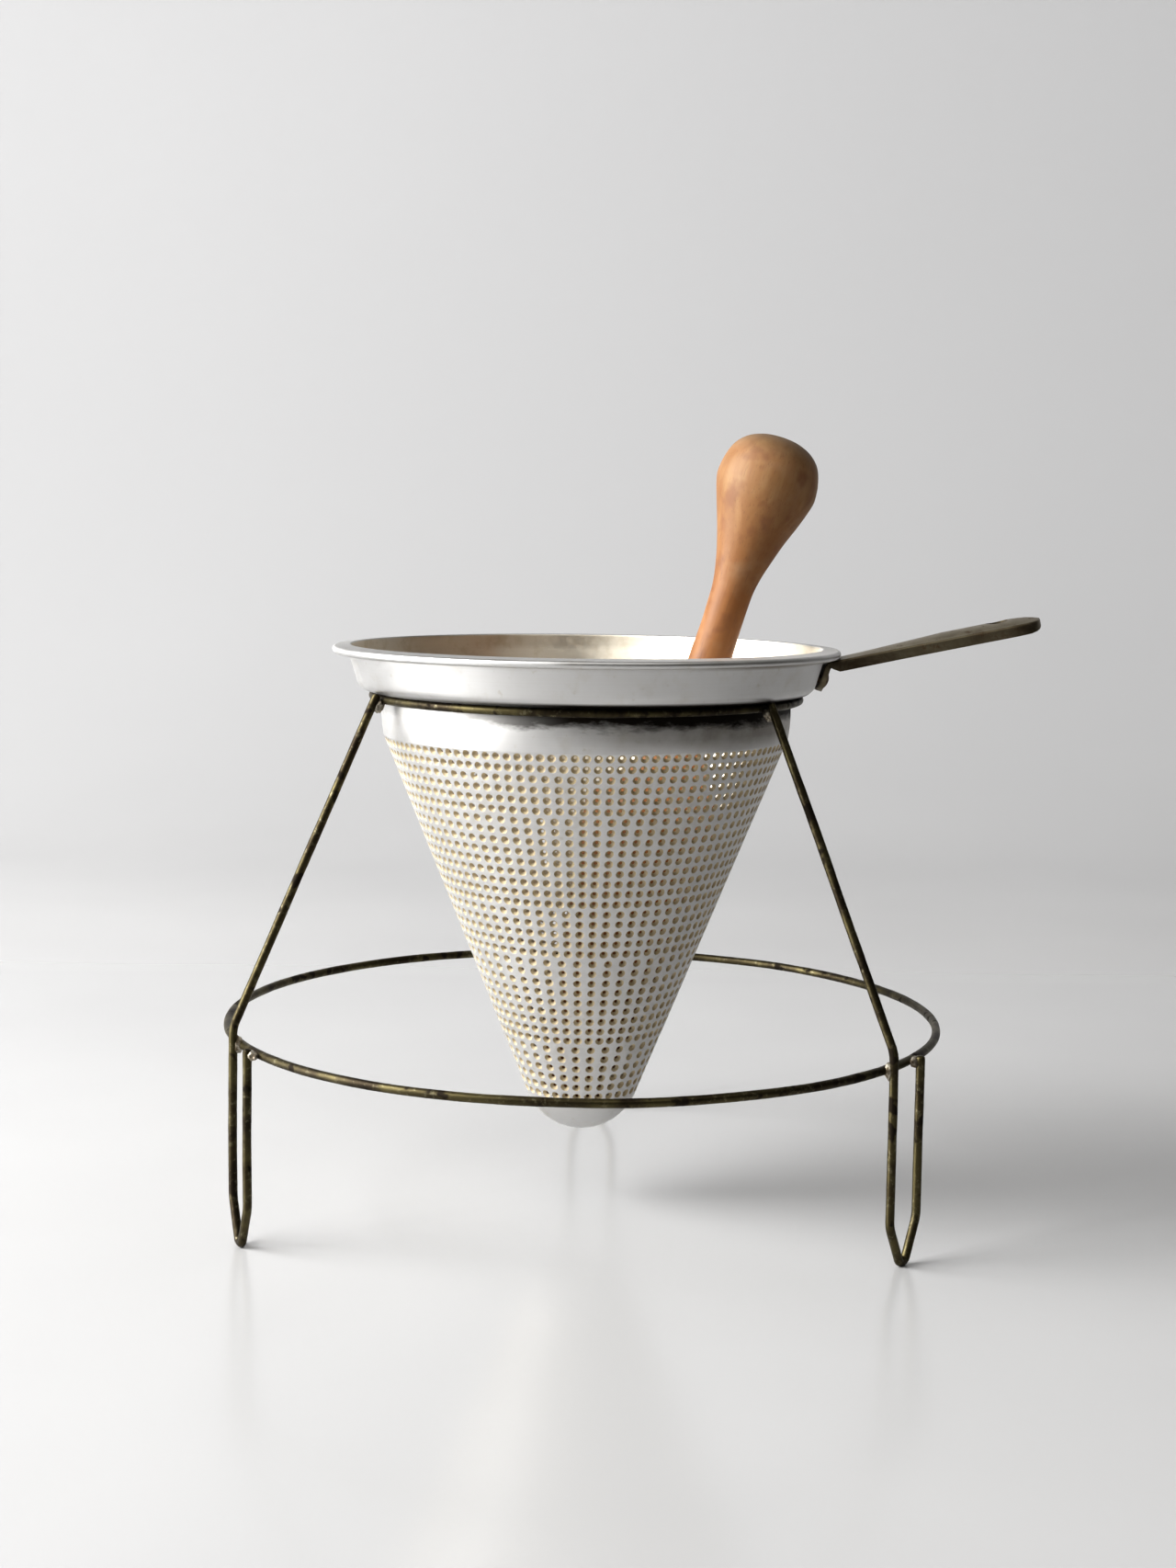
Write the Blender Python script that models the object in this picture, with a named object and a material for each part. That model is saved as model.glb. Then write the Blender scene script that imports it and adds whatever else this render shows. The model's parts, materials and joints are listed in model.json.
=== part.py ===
"""Potato ricer: a perforated aluminium cone with a strap handle, hanging in a three-legged
wire stand, with a turned wooden pestle leaning inside the cone.

Everything is laid out round the cone's vertical axis, with Z = 0 on the table, and the whole
is then moved so that the middle of its footprint stands on the world origin. Metres, +Z up.
"""
import math

import bmesh
import bpy
from mathutils import Matrix, Vector

MM = 0.001

# Wire stand: two rings and three legs of the same wire
WIRE_RADIUS = 1.5 * MM
WIRE_SIDES = 8
RING_SEGMENTS = 60
TOP_RING_RADIUS = 74.9 * MM
TOP_RING_HEIGHT = 182.0 * MM
LOWER_RING_RADIUS = 125.6 * MM
LOWER_RING_HEIGHT = 67.0 * MM
JOINT_GAP = 0.3 * MM
LEG_OFFSET = 2 * WIRE_RADIUS + JOINT_GAP
LEG_AZIMUTHS = {"leg_left": 204.6, "leg_right": 322.0, "leg_back": 84.4}
LEG_TOP_HEIGHT = TOP_RING_HEIGHT + 1.2 * MM
LEG_BEND_HEIGHT = 73.0 * MM
FOOT_WIDTH = 17.0 * MM
FOOT_TAPER_HEIGHT = 15.0 * MM
FOOT_FLAT_LENGTH = 3.6 * MM

# Strainer: spun sheet, from a beaded rim down to a round tip
SHEET = 1.0 * MM
RIM_RADIUS = 89.3 * MM
BEAD_RADIUS = 1.35 * MM
BEAD_HEIGHT = 198.2 * MM
CREST_RADIUS = 82.9 * MM
CREST_HEIGHT = 200.0 * MM
WALL_TOP_RADIUS = 83.9 * MM
WALL_SLOPE = 0.30
SHOULDER_HEIGHT = TOP_RING_HEIGHT + WIRE_RADIUS + 0.35 * MM
COLLAR_TOP_RADIUS = 72.0 * MM
COLLAR_FOOT_RADIUS = 70.4 * MM
COLLAR_FOOT_HEIGHT = 166.1 * MM
TIP_HEIGHT = 26.7 * MM
TIP_SPHERE_RADIUS = 21.0 * MM
STRAINER_SEGMENTS = 48

# Strap handle: a pressed channel with a crowned back, riveted to the bowl's wall
HANDLE_SHEET = 1.1 * MM
HANDLE_REACH = 159.0 * MM
HANDLE_RISE = 12.0
HANDLE_BEND_RADIUS = 7.5 * MM
HANDLE_HALF_WIDTH_ROOT = 7.5 * MM
HANDLE_HALF_WIDTH_WAIST = 6.3 * MM
HANDLE_HALF_WIDTH_END = 10.0 * MM
HANDLE_DEPTH_ROOT = 4.0 * MM
HANDLE_DEPTH_END = 4.1 * MM
HANDLE_CROWN = 1.9 * MM
HANDLE_EDGE_RADIUS = 0.9 * MM
HANDLE_STATIONS = (0.12, 0.25, 0.4, 0.55, 0.7, 0.8, 0.87, 0.92, 0.955, 0.98, 0.993)
FOOT_FLANGE_SHARE = 0.42
CHANNEL_OVERCUT = 1.0 * MM
FOOT_PLATE_HALF_WIDTH = 9.5 * MM
FOOT_PLATE_LENGTH = 9.5 * MM
FOOT_PLATE_ROUNDING = 5.0 * MM
FOOT_PLATE_STATIONS = (0, 0.04, 0.12, 0.3, 0.6)
FOOT_PLATE_BOTTOM = 185.6 * MM
FOOT_PLATE_GAP = 0.35 * MM
HANG_HOLE_RADIUS = 4.0 * MM
HANG_HOLE_INSET = 15.0 * MM

# Rivets: two side by side through the handle's foot and the wall
RIVET_SPACING = 10.4 * MM
RIVET_HEIGHT = 189.6 * MM
RIVET_SHANK_RADIUS = 1.5 * MM
RIVET_HEAD_RADIUS = 2.6 * MM
RIVET_HEAD_HEIGHT = 1.6 * MM
RIVET_INNER_HEAD_HEIGHT = 0.8 * MM
RIVET_CLEARANCE = 0.3 * MM

# Pestle: one turned piece of wood, tip in the cone's round end, side against its wall
PESTLE_LENGTH = 256.5 * MM
PESTLE_TIP_RADIUS = 11.0 * MM
PESTLE_SHOULDER = Vector((27.7, 116.0)) * MM
PESTLE_SHOULDER_TOP = Vector((17.0, 127.0)) * MM
PESTLE_NECK_FOOT = Vector((9.5, 136.0)) * MM
PESTLE_NECK = Vector((7.6, 168.0)) * MM
PESTLE_NECK_TOP = Vector((7.4, 190.0)) * MM
KNOB_FOOT = Vector((8.1, 203.0)) * MM
KNOB_FLARE = Vector((11.9, 218.0)) * MM
KNOB_BELOW_WIDEST = Vector((17.5, 234.0)) * MM
KNOB_WIDEST = Vector((18.2, 241.0)) * MM
KNOB_ABOVE_WIDEST = Vector((16.2, 248.9)) * MM
KNOB_EDGE = Vector((12.6, 253.2)) * MM
KNOB_CROWN = Vector((7.8, 255.6)) * MM
KNOB_TOP = Vector((3.6, 256.4)) * MM
PESTLE_TIP_CENTRE = Vector((-4.1, 0.0, 40.3)) * MM
PESTLE_LEAN = Vector((0.3125, 0.095, 1.0))
PESTLE_SEGMENTS = 28

ALUMINIUM = ((0.72, 0.72, 0.70, 1.0), 0.32, 1.0)
TINNED_STEEL = ((0.16, 0.13, 0.08, 1.0), 0.42, 0.9)
HANDLE_STEEL = ((0.17, 0.14, 0.11, 1.0), 0.48, 0.8)
RIVET_STEEL = ((0.22, 0.18, 0.13, 1.0), 0.40, 0.9)
WOOD = ((0.45, 0.24, 0.11, 1.0), 0.60, 0.0)


# ---------------------------------------------------------------- helpers

def clear_scene():
    for obj in list(bpy.data.objects):
        bpy.data.objects.remove(obj, do_unlink=True)


def material(name, finish):
    colour, roughness, metallic = finish
    mat = bpy.data.materials.new(name)
    mat.use_nodes = True
    shader = mat.node_tree.nodes["Principled BSDF"]
    shader.inputs["Base Color"].default_value = colour
    shader.inputs["Roughness"].default_value = roughness
    shader.inputs["Metallic"].default_value = metallic
    return mat


def empty(name, location, parent=None):
    obj = bpy.data.objects.new(name, None)
    obj.location = location
    obj.parent = parent
    bpy.context.scene.collection.objects.link(obj)
    return obj


def add_object(name, bm, mat=None, parent=None):
    """Turn a bmesh into a named, smooth-shaded object with its own material."""
    bmesh.ops.recalc_face_normals(bm, faces=bm.faces)
    mesh = bpy.data.meshes.new(name)
    bm.to_mesh(mesh)
    bm.free()
    mesh.shade_smooth()
    mesh.set_sharp_from_angle(angle=math.radians(35))
    obj = bpy.data.objects.new(name, mesh)
    bpy.context.scene.collection.objects.link(obj)
    obj.parent = parent
    if mat:
        mesh.materials.append(mat)
    return obj


def polar(radius, degrees, height):
    angle = math.radians(degrees)
    return Vector((radius * math.cos(angle), radius * math.sin(angle), height))


def lerp(a, b, t):
    return a + (b - a) * t


def fillet(corners, steps=4):
    """Polyline through (point, radius) corners, each inner corner rounded by an arc."""
    points = [corners[0][0].copy()]
    for (before, _), (corner, radius), (after, _) in zip(corners, corners[1:], corners[2:]):
        back = (before - corner).normalized()
        ahead = (after - corner).normalized()
        half = back.angle(ahead) / 2
        if radius <= 0 or half > math.radians(89):
            points.append(corner.copy())
            continue
        tangent = radius / math.tan(half)
        centre = corner + (back + ahead).normalized() * (radius / math.sin(half))
        first = corner + back * tangent - centre
        last = corner + ahead * tangent - centre
        sweep = first.angle(last)
        for i in range(steps + 1):
            t = i / steps
            arc = (first * math.sin((1 - t) * sweep) + last * math.sin(t * sweep)) / math.sin(sweep)
            points.append(centre + arc)
    points.append(corners[-1][0].copy())
    return points


def smooth_line(points, steps):
    """Catmull-Rom curve through points, with steps intervals between each pair."""
    ends = [points[0] * 2 - points[1]] + list(points) + [points[-1] * 2 - points[-2]]
    curve = []
    for a, b, c, d in zip(ends, ends[1:], ends[2:], ends[3:]):
        for i in range(steps):
            t = i / steps
            curve.append(0.5 * (2 * b + (c - a) * t + (2 * a - 5 * b + 4 * c - d) * t * t
                                + (3 * b - a - 3 * c + d) * t ** 3))
    curve.append(points[-1].copy())
    return curve


def offset_line(points, distance):
    """Move a (radius, height) polyline sideways, to its right, by a distance."""
    moved = []
    last = len(points) - 1
    for i, point in enumerate(points):
        before = (point - points[max(i - 1, 0)])
        after = (points[min(i + 1, last)] - point)
        sides = [Vector((v.y, -v.x)).normalized() for v in (before, after) if v.length > 0]
        side = sum(sides, Vector((0, 0))).normalized()
        moved.append(point + side * distance / side.dot(sides[0]))
    return moved


def turned(name, outline, segments, mat=None, parent=None):
    """Solid of revolution about Z; outline points on the axis become poles."""
    bm = bmesh.new()
    rings = []
    for point in outline:
        if point.x < 1e-7:
            rings.append([bm.verts.new((0, 0, point.y))])
        else:
            rings.append([bm.verts.new(polar(point.x, 360 * k / segments, point.y))
                          for k in range(segments)])
    closed = len(rings[0]) > 1
    pairs = list(zip(rings, rings[1:])) + ([(rings[-1], rings[0])] if closed else [])
    for a, b in pairs:
        if len(a) == len(b) == 1:
            continue
        for k in range(segments):
            n = (k + 1) % segments
            corners = [a[k % len(a)], a[n % len(a)], b[n % len(b)], b[k % len(b)]]
            bm.faces.new(list(dict.fromkeys(corners)))
    return add_object(name, bm, mat, parent)


def skin(bm, sections, closed=False):
    """Faces between neighbouring sections, with end caps unless the loft is a closed loop."""
    count = len(sections[0])
    pairs = list(zip(sections, sections[1:])) + ([(sections[-1], sections[0])] if closed else [])
    for a, b in pairs:
        for k in range(count):
            n = (k + 1) % count
            bm.faces.new((a[k], a[n], b[n], b[k]))
    if not closed:
        bm.faces.new(sections[0])
        bm.faces.new(sections[-1])


def wire_section(bm, centre, side, up):
    """One flat-bottomed polygon of the wire, across the plane of side and up."""
    verts = []
    for k in range(WIRE_SIDES):
        angle = 2 * math.pi * (k + 0.5) / WIRE_SIDES
        reach = WIRE_RADIUS / math.cos(math.pi / WIRE_SIDES)
        verts.append(bm.verts.new(centre + reach * (math.cos(angle) * side + math.sin(angle) * up)))
    return verts


def ring(name, radius, height, segments, mat, parent):
    bm = bmesh.new()
    sections = []
    for k in range(segments):
        out = polar(1.0, 360 * k / segments, 0)
        centre = out * radius + Vector((0, 0, height))
        sections.append(wire_section(bm, centre, out, Vector((0, 0, 1))))
    skin(bm, sections, closed=True)
    return add_object(name, bm, mat, parent)


def bent_wire(name, path, start, side, mat, parent):
    """Wire along a path; its section keeps its bearing along the path from index start on."""
    bm = bmesh.new()
    last = len(path) - 1
    tangents = [(path[min(i + 1, last)] - path[max(i - 1, 0)]).normalized()
                for i in range(len(path))]
    sides = {start: (side - tangents[start] * side.dot(tangents[start])).normalized()}
    order = list(range(start + 1, last + 1)) + list(range(start - 1, -1, -1))
    for i in order:
        near = i - 1 if i > start else i + 1
        turn = tangents[near].rotation_difference(tangents[i])
        sides[i] = (turn @ sides[near]).normalized()
    sections = [wire_section(bm, path[i], sides[i], tangents[i].cross(sides[i]))
                for i in range(last + 1)]
    skin(bm, sections)
    return add_object(name, bm, mat, parent)


def cut(obj, cutter):
    """Boolean difference, applied, after which the cutter is gone."""
    mod = obj.modifiers.new("cut", "BOOLEAN")
    mod.operation = "DIFFERENCE"
    mod.solver = "EXACT"
    mod.object = cutter
    bpy.context.view_layer.update()
    evaluated = obj.evaluated_get(bpy.context.evaluated_depsgraph_get())
    mesh = bpy.data.meshes.new_from_object(evaluated)
    obj.modifiers.clear()
    obj.data = mesh
    bpy.data.objects.remove(cutter, do_unlink=True)


# ---------------------------------------------------------------- wire stand

def leg_path(azimuth):
    """Slope from the top ring, bend at the lower ring, down, round the foot and back up."""
    out = polar(1.0, azimuth, 0)
    along = polar(1.0, azimuth + 90, 0)
    up = Vector((0, 0, 1))
    top = out * (TOP_RING_RADIUS + LEG_OFFSET) + up * LEG_TOP_HEIGHT
    knee = out * (LOWER_RING_RADIUS + LEG_OFFSET) + up * LEG_BEND_HEIGHT
    ankle = Vector((knee.x, knee.y, FOOT_TAPER_HEIGHT))
    middle = Vector((knee.x, knee.y, WIRE_RADIUS)) + along * FOOT_WIDTH / 2
    toe = middle - along * FOOT_FLAT_LENGTH / 2
    heel = middle + along * FOOT_FLAT_LENGTH / 2
    far_ankle = ankle + along * FOOT_WIDTH
    end = Vector((far_ankle.x, far_ankle.y, LOWER_RING_HEIGHT + WIRE_RADIUS))
    corners = [(top, 0), (knee, 12 * MM), (ankle, 9 * MM), (toe, 1.9 * MM), (heel, 1.9 * MM),
               (far_ankle, 9 * MM), (end, 0)]
    return fillet(corners, steps=5), out


def make_stand(parent):
    ring("top_ring", TOP_RING_RADIUS, TOP_RING_HEIGHT, RING_SEGMENTS,
         material("top_ring", TINNED_STEEL), parent)
    ring("lower_ring", LOWER_RING_RADIUS, LOWER_RING_HEIGHT, RING_SEGMENTS,
         material("lower_ring", TINNED_STEEL), parent)
    for name, azimuth in LEG_AZIMUTHS.items():
        path, out = leg_path(azimuth)
        lowest = min(range(len(path)), key=lambda i: path[i].z)
        bent_wire(name, path, lowest, out, material(name, TINNED_STEEL), parent)


# ---------------------------------------------------------------- strainer

def rim_outline():
    """Crest, sloping flange and round bead, from the crest's inner edge to the wall's top."""
    bead = Vector((RIM_RADIUS - BEAD_RADIUS, BEAD_HEIGHT))
    arc = [bead + BEAD_RADIUS * Vector((math.cos(a), math.sin(a)))
           for a in (math.radians(d) for d in range(100, -161, -26))]
    crest = Vector((CREST_RADIUS, CREST_HEIGHT))
    under = Vector((WALL_TOP_RADIUS + 0.4 * MM, CREST_HEIGHT - 1.6 * MM))
    return [crest + Vector((0.5, -0.05)) * MM] + arc + [under]


def wall_outline():
    """Outer side of the sheet from below the flange to the tip, as (radius, height)."""
    top = Vector((WALL_TOP_RADIUS, CREST_HEIGHT - 2.0 * MM))
    wall_foot = Vector((top.x - WALL_SLOPE * (top.y - SHOULDER_HEIGHT), SHOULDER_HEIGHT))
    collar_top = Vector((COLLAR_TOP_RADIUS, SHOULDER_HEIGHT))
    collar_foot = Vector((COLLAR_FOOT_RADIUS, COLLAR_FOOT_HEIGHT))
    centre = Vector((0, TIP_HEIGHT + TIP_SPHERE_RADIUS))
    # the cone is the tangent from the collar's foot to the round tip
    to_foot = collar_foot - centre
    touch = math.atan2(to_foot.y, to_foot.x) - math.acos(TIP_SPHERE_RADIUS / to_foot.length)
    tangent = centre + TIP_SPHERE_RADIUS * Vector((math.cos(touch), math.sin(touch)))
    upper = fillet([(top, 0), (wall_foot, 5.0 * MM), (collar_top, 2.0 * MM),
                    (collar_foot, 2.0 * MM), (tangent, 0)], steps=3)
    cap = [centre + TIP_SPHERE_RADIUS * Vector((math.cos(a), math.sin(a)))
           for a in (lerp(touch, -math.pi / 2, k / 5) for k in range(1, 6))]
    cap[-1].x = 0.0
    return upper + cap


def make_strainer(parent):
    outer = wall_outline()
    inner = offset_line(outer, SHEET)
    inner[-1].x = 0.0
    inner[0] = Vector((CREST_RADIUS - 0.1 * MM, CREST_HEIGHT - 0.5 * MM))
    outline = rim_outline() + outer
    body = turned("strainer_body", outline + inner[::-1], STRAINER_SEGMENTS,
                  material("strainer_body", ALUMINIUM), parent)
    for side in (-1, 1):
        cut(body, rivet_drill(side))


# ---------------------------------------------------------------- handle and rivets

def wall_radius(height):
    """Outer radius of the bowl's straight wall at a height."""
    return WALL_TOP_RADIUS - WALL_SLOPE * (CREST_HEIGHT - 2.0 * MM - height)


def wall_directions():
    """Unit vectors up along the wall and out of it, in the plane of the handle."""
    up = Vector((WALL_SLOPE, 0, 1)).normalized()
    return up, Vector((up.z, 0, -up.x))


def rivet_frame(side):
    """World placing of one rivet: Z out of the wall, origin on the wall's outer face."""
    reach = RIVET_SPACING / 2 * side
    azimuth = math.asin(reach / wall_radius(RIVET_HEIGHT))
    up, out = wall_directions()
    across = up.cross(out)
    place = Vector((wall_radius(RIVET_HEIGHT) * math.cos(azimuth), reach, RIVET_HEIGHT))
    return Matrix.Translation(place) @ Matrix((up, across, out)).transposed().to_4x4()


def rivet_drill(side, half_length=6.0 * MM):
    bm = bmesh.new()
    radius = RIVET_SHANK_RADIUS + RIVET_CLEARANCE
    bmesh.ops.create_cone(bm, cap_ends=True, segments=14, radius1=radius, radius2=radius,
                          depth=2 * half_length, matrix=rivet_frame(side))
    return add_object("rivet_drill", bm)


def make_rivet(name, side, parent):
    """Domed head outside the foot plate, shank through plate and wall, flat head inside."""
    sag = RIVET_SPACING ** 2 / 8 / wall_radius(RIVET_HEIGHT)
    seat = sag + FOOT_PLATE_GAP + HANDLE_SHEET + RIVET_CLEARANCE
    inside = -SHEET - 0.5 * MM
    dome = [Vector((RIVET_HEAD_RADIUS * math.sin(a), seat + RIVET_HEAD_HEIGHT * math.cos(a)))
            for a in (math.radians(d) for d in (22, 44, 66, 90))]
    outline = ([Vector((0, seat + RIVET_HEAD_HEIGHT))] + dome
               + [Vector((RIVET_SHANK_RADIUS, seat)),
                  Vector((RIVET_SHANK_RADIUS, inside)),
                  Vector((RIVET_HEAD_RADIUS, inside)),
                  Vector((RIVET_HEAD_RADIUS - 0.4 * MM, inside - RIVET_INNER_HEAD_HEIGHT)),
                  Vector((0, inside - RIVET_INNER_HEAD_HEIGHT))])
    obj = turned(name, outline, 14, material(name, RIVET_STEEL), parent)
    obj.matrix_local = rivet_frame(side)


def handle_path():
    """Line of the strap's back: up the wall, round the bend and out along the handle."""
    up, out = wall_directions()
    strap = Vector((math.cos(math.radians(HANDLE_RISE)), 0, math.sin(math.radians(HANDLE_RISE))))
    bottom = Vector((wall_radius(FOOT_PLATE_BOTTOM), 0, FOOT_PLATE_BOTTOM)) + out * FOOT_PLATE_GAP
    bead_bottom = BEAD_HEIGHT - BEAD_RADIUS
    under_bead = Vector((RIM_RADIUS - BEAD_RADIUS, 0, bead_bottom - 0.6 * MM))
    # where the wall line meets the strap line
    gap = under_bead - bottom
    reach = (gap.x * strap.z - gap.z * strap.x) / (up.x * strap.z - up.z * strap.x)
    corner = bottom + up * reach
    end = under_bead + strap * ((HANDLE_REACH - under_bead.x) / strap.x)
    bend = fillet([(bottom, 0), (corner, HANDLE_BEND_RADIUS), (end, 0)], steps=5)
    plate = [lerp(bend[0], bend[1], t) for t in FOOT_PLATE_STATIONS]
    straight = [lerp(bend[-2], bend[-1], t) for t in HANDLE_STATIONS]
    return plate + bend[1:-1] + straight + [bend[-1]]


def distances(line):
    total = [0.0]
    for a, b in zip(line, line[1:]):
        total.append(total[-1] + (b - a).length)
    return total


def strap_half_width(s, length, inset):
    """Half the strap's width: broad at the foot plate, waisted at the bend, rounded at both ends."""
    t = max(0.0, (s - FOOT_PLATE_LENGTH) / (length - FOOT_PLATE_LENGTH))
    root = lerp(FOOT_PLATE_HALF_WIDTH, HANDLE_HALF_WIDTH_ROOT, min(1.0, 1.6 * t ** 0.5))
    strap = lerp(HANDLE_HALF_WIDTH_WAIST, HANDLE_HALF_WIDTH_END, t)
    before = max(0.0, 1 - s / FOOT_PLATE_ROUNDING)
    past = past_end(s, length, inset)
    rounding = math.sqrt(max(0.012, 1 - past ** 2)) * math.sqrt(1 - 0.8 * before ** 2)
    return (max(root, strap) - inset) * rounding


def past_end(s, length, inset):
    """How far along the rounded end, from 0 where it begins to 1 at the tip."""
    nose = HANDLE_HALF_WIDTH_END - inset
    return max(0.0, s - (length - inset - nose)) / nose


def strap_section(s, length, inset):
    """Outline across the strap at a distance s along it, as (across, up) pairs."""
    half = strap_half_width(s, length, inset)
    t = max(0.0, (s - FOOT_PLATE_LENGTH) / (length - FOOT_PLATE_LENGTH))
    depth = lerp(HANDLE_DEPTH_ROOT, HANDLE_DEPTH_END, t)
    depth *= lerp(FOOT_FLANGE_SHARE, 1.0, min(1.0, s / FOOT_PLATE_LENGTH))
    crown = HANDLE_CROWN * min(1.0, 1.8 * t) * (1 - 0.85 * past_end(s, length, inset) ** 2)
    edge = max(0.2 * MM, HANDLE_EDGE_RADIUS - 0.5 * inset)
    bottom = -depth - (CHANNEL_OVERCUT if inset else 0.0)
    side = [(-half, bottom), (-half, -inset - edge), (-half + 0.3 * edge, -inset - 0.3 * edge)]
    back = [(u * (half - edge), crown * (1 - u * u) - inset) for u in (k / 3 for k in range(-3, 4))]
    return side + back + [(-x, z) for x, z in reversed(side)]


def handle_loft(name, inset):
    """Solid along the strap; inset 0 is its outside, and the sheet's thickness its hollow."""
    bm = bmesh.new()
    line = handle_path()
    run = distances(line)
    length = run[-1]
    sections = []
    for i, point in enumerate(line):
        ahead = line[min(i + 1, len(line) - 1)]
        behind = line[max(i - 1, 0)]
        tangent = (ahead - behind).normalized()
        back = Vector((-tangent.z, 0, tangent.x))
        section = strap_section(run[i], length, inset)
        sections.append([bm.verts.new(point + Vector((0, x, 0)) + back * z) for x, z in section])
        if inset and run[i] > length - inset:
            break
    skin(bm, sections)
    return add_object(name, bm)


def make_handle(parent):
    handle = handle_loft("handle", 0.0)
    handle.parent = parent
    handle.data.materials.append(material("handle", HANDLE_STEEL))
    cut(handle, handle_loft("channel", HANDLE_SHEET))
    line = handle_path()
    strap = (line[-1] - line[-2]).normalized()
    back = Vector((-strap.z, 0, strap.x))
    centre = line[-1] - strap * HANG_HOLE_INSET
    bm = bmesh.new()
    turn = Vector((0, 0, 1)).rotation_difference(back).to_matrix().to_4x4()
    bmesh.ops.create_cone(bm, cap_ends=True, segments=20, radius1=HANG_HOLE_RADIUS,
                          radius2=HANG_HOLE_RADIUS, depth=30 * MM,
                          matrix=Matrix.Translation(centre) @ turn)
    cut(handle, add_object("hang_hole", bm))
    for side in (-1, 1):
        cut(handle, rivet_drill(side))


# ---------------------------------------------------------------- pestle

def pestle_outline():
    """Round tip, tapered body, shoulder, slim neck and flattened knob, from the tip up."""
    centre = Vector((0, PESTLE_TIP_RADIUS))
    away = PESTLE_SHOULDER - centre
    touch = math.atan2(away.y, away.x) - math.acos(PESTLE_TIP_RADIUS / away.length)
    arc = [centre + PESTLE_TIP_RADIUS * Vector((math.cos(a), math.sin(a)))
           for a in (lerp(-math.pi / 2, touch, k / 5) for k in range(6))]
    arc[0].x = 0.0
    body = fillet([(arc[-1], 0), (PESTLE_SHOULDER, 5.0 * MM), (PESTLE_SHOULDER_TOP, 6.0 * MM),
                   (PESTLE_NECK_FOOT, 12.0 * MM), (PESTLE_NECK, 0)], steps=3)
    knob = smooth_line([PESTLE_NECK, PESTLE_NECK_TOP, KNOB_FOOT, KNOB_FLARE, KNOB_BELOW_WIDEST,
                        KNOB_WIDEST, KNOB_ABOVE_WIDEST, KNOB_EDGE, KNOB_CROWN, KNOB_TOP], 2)
    return arc + body[1:] + knob[1:] + [Vector((0, PESTLE_LENGTH))]


def make_pestle(parent):
    """The pestle leans away from the cone's axis; its parent empty stands on that axis."""
    pestle = turned("pestle", pestle_outline(), PESTLE_SEGMENTS, material("pestle", WOOD), parent)
    lean = Vector((0, 0, 1)).rotation_difference(PESTLE_LEAN.normalized())
    pestle.rotation_mode = "QUATERNION"
    pestle.rotation_quaternion = lean
    pestle.location = PESTLE_TIP_CENTRE - PESTLE_LEAN.normalized() * PESTLE_TIP_RADIUS


# ---------------------------------------------------------------- assembly

def centre_footprint(root):
    """Move the whole so that the middle of its bounding box's floor is the world origin."""
    bpy.context.view_layer.update()
    corners = [obj.matrix_world @ Vector(c) for obj in bpy.data.objects if obj.type == "MESH"
               for c in obj.bound_box]
    for axis in (0, 1):
        values = [c[axis] for c in corners]
        root.location[axis] -= (min(values) + max(values)) / 2
    root.location[2] -= min(c[2] for c in corners)


def main():
    clear_scene()
    root = empty("ricer", (0, 0, 0))
    stand = empty("stand_axis", (0, 0, 0), root)
    strainer = empty("strainer_axis", (0, 0, 0), root)
    pestle = empty("pestle_axis", (0, 0, 0), root)
    make_stand(stand)
    make_strainer(strainer)
    make_handle(strainer)
    make_rivet("rivet_near", -1, strainer)
    make_rivet("rivet_far", 1, strainer)
    make_pestle(pestle)
    centre_footprint(root)


main()
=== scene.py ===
"""Looks for the potato ricer: a spun, punched aluminium cone in a tinned wire stand.

Every piece is laid out round the cone's vertical axis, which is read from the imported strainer,
so a piece's own origin stands on that axis at table height. Metres, +Z up.
"""

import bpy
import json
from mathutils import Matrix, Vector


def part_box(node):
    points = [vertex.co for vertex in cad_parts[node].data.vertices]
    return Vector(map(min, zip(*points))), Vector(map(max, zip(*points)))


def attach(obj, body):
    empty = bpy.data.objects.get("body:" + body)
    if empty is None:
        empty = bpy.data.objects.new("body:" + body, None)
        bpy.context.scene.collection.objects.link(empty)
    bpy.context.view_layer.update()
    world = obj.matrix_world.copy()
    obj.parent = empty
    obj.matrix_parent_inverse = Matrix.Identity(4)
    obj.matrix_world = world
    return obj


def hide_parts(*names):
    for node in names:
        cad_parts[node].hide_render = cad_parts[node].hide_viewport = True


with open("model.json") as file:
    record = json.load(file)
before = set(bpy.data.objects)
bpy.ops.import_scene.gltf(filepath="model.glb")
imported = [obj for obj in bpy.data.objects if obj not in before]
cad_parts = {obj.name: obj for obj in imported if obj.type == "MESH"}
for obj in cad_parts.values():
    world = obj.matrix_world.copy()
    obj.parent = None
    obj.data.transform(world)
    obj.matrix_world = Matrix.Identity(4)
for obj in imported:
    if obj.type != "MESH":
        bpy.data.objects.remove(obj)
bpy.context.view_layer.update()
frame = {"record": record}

import json
import math
import random

import bmesh
import bpy
from mathutils import Matrix, Vector, noise

MM = 0.001
UP = Vector((0, 0, 1))
SEED = 7
SHARP_ANGLE = math.radians(38)

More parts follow.
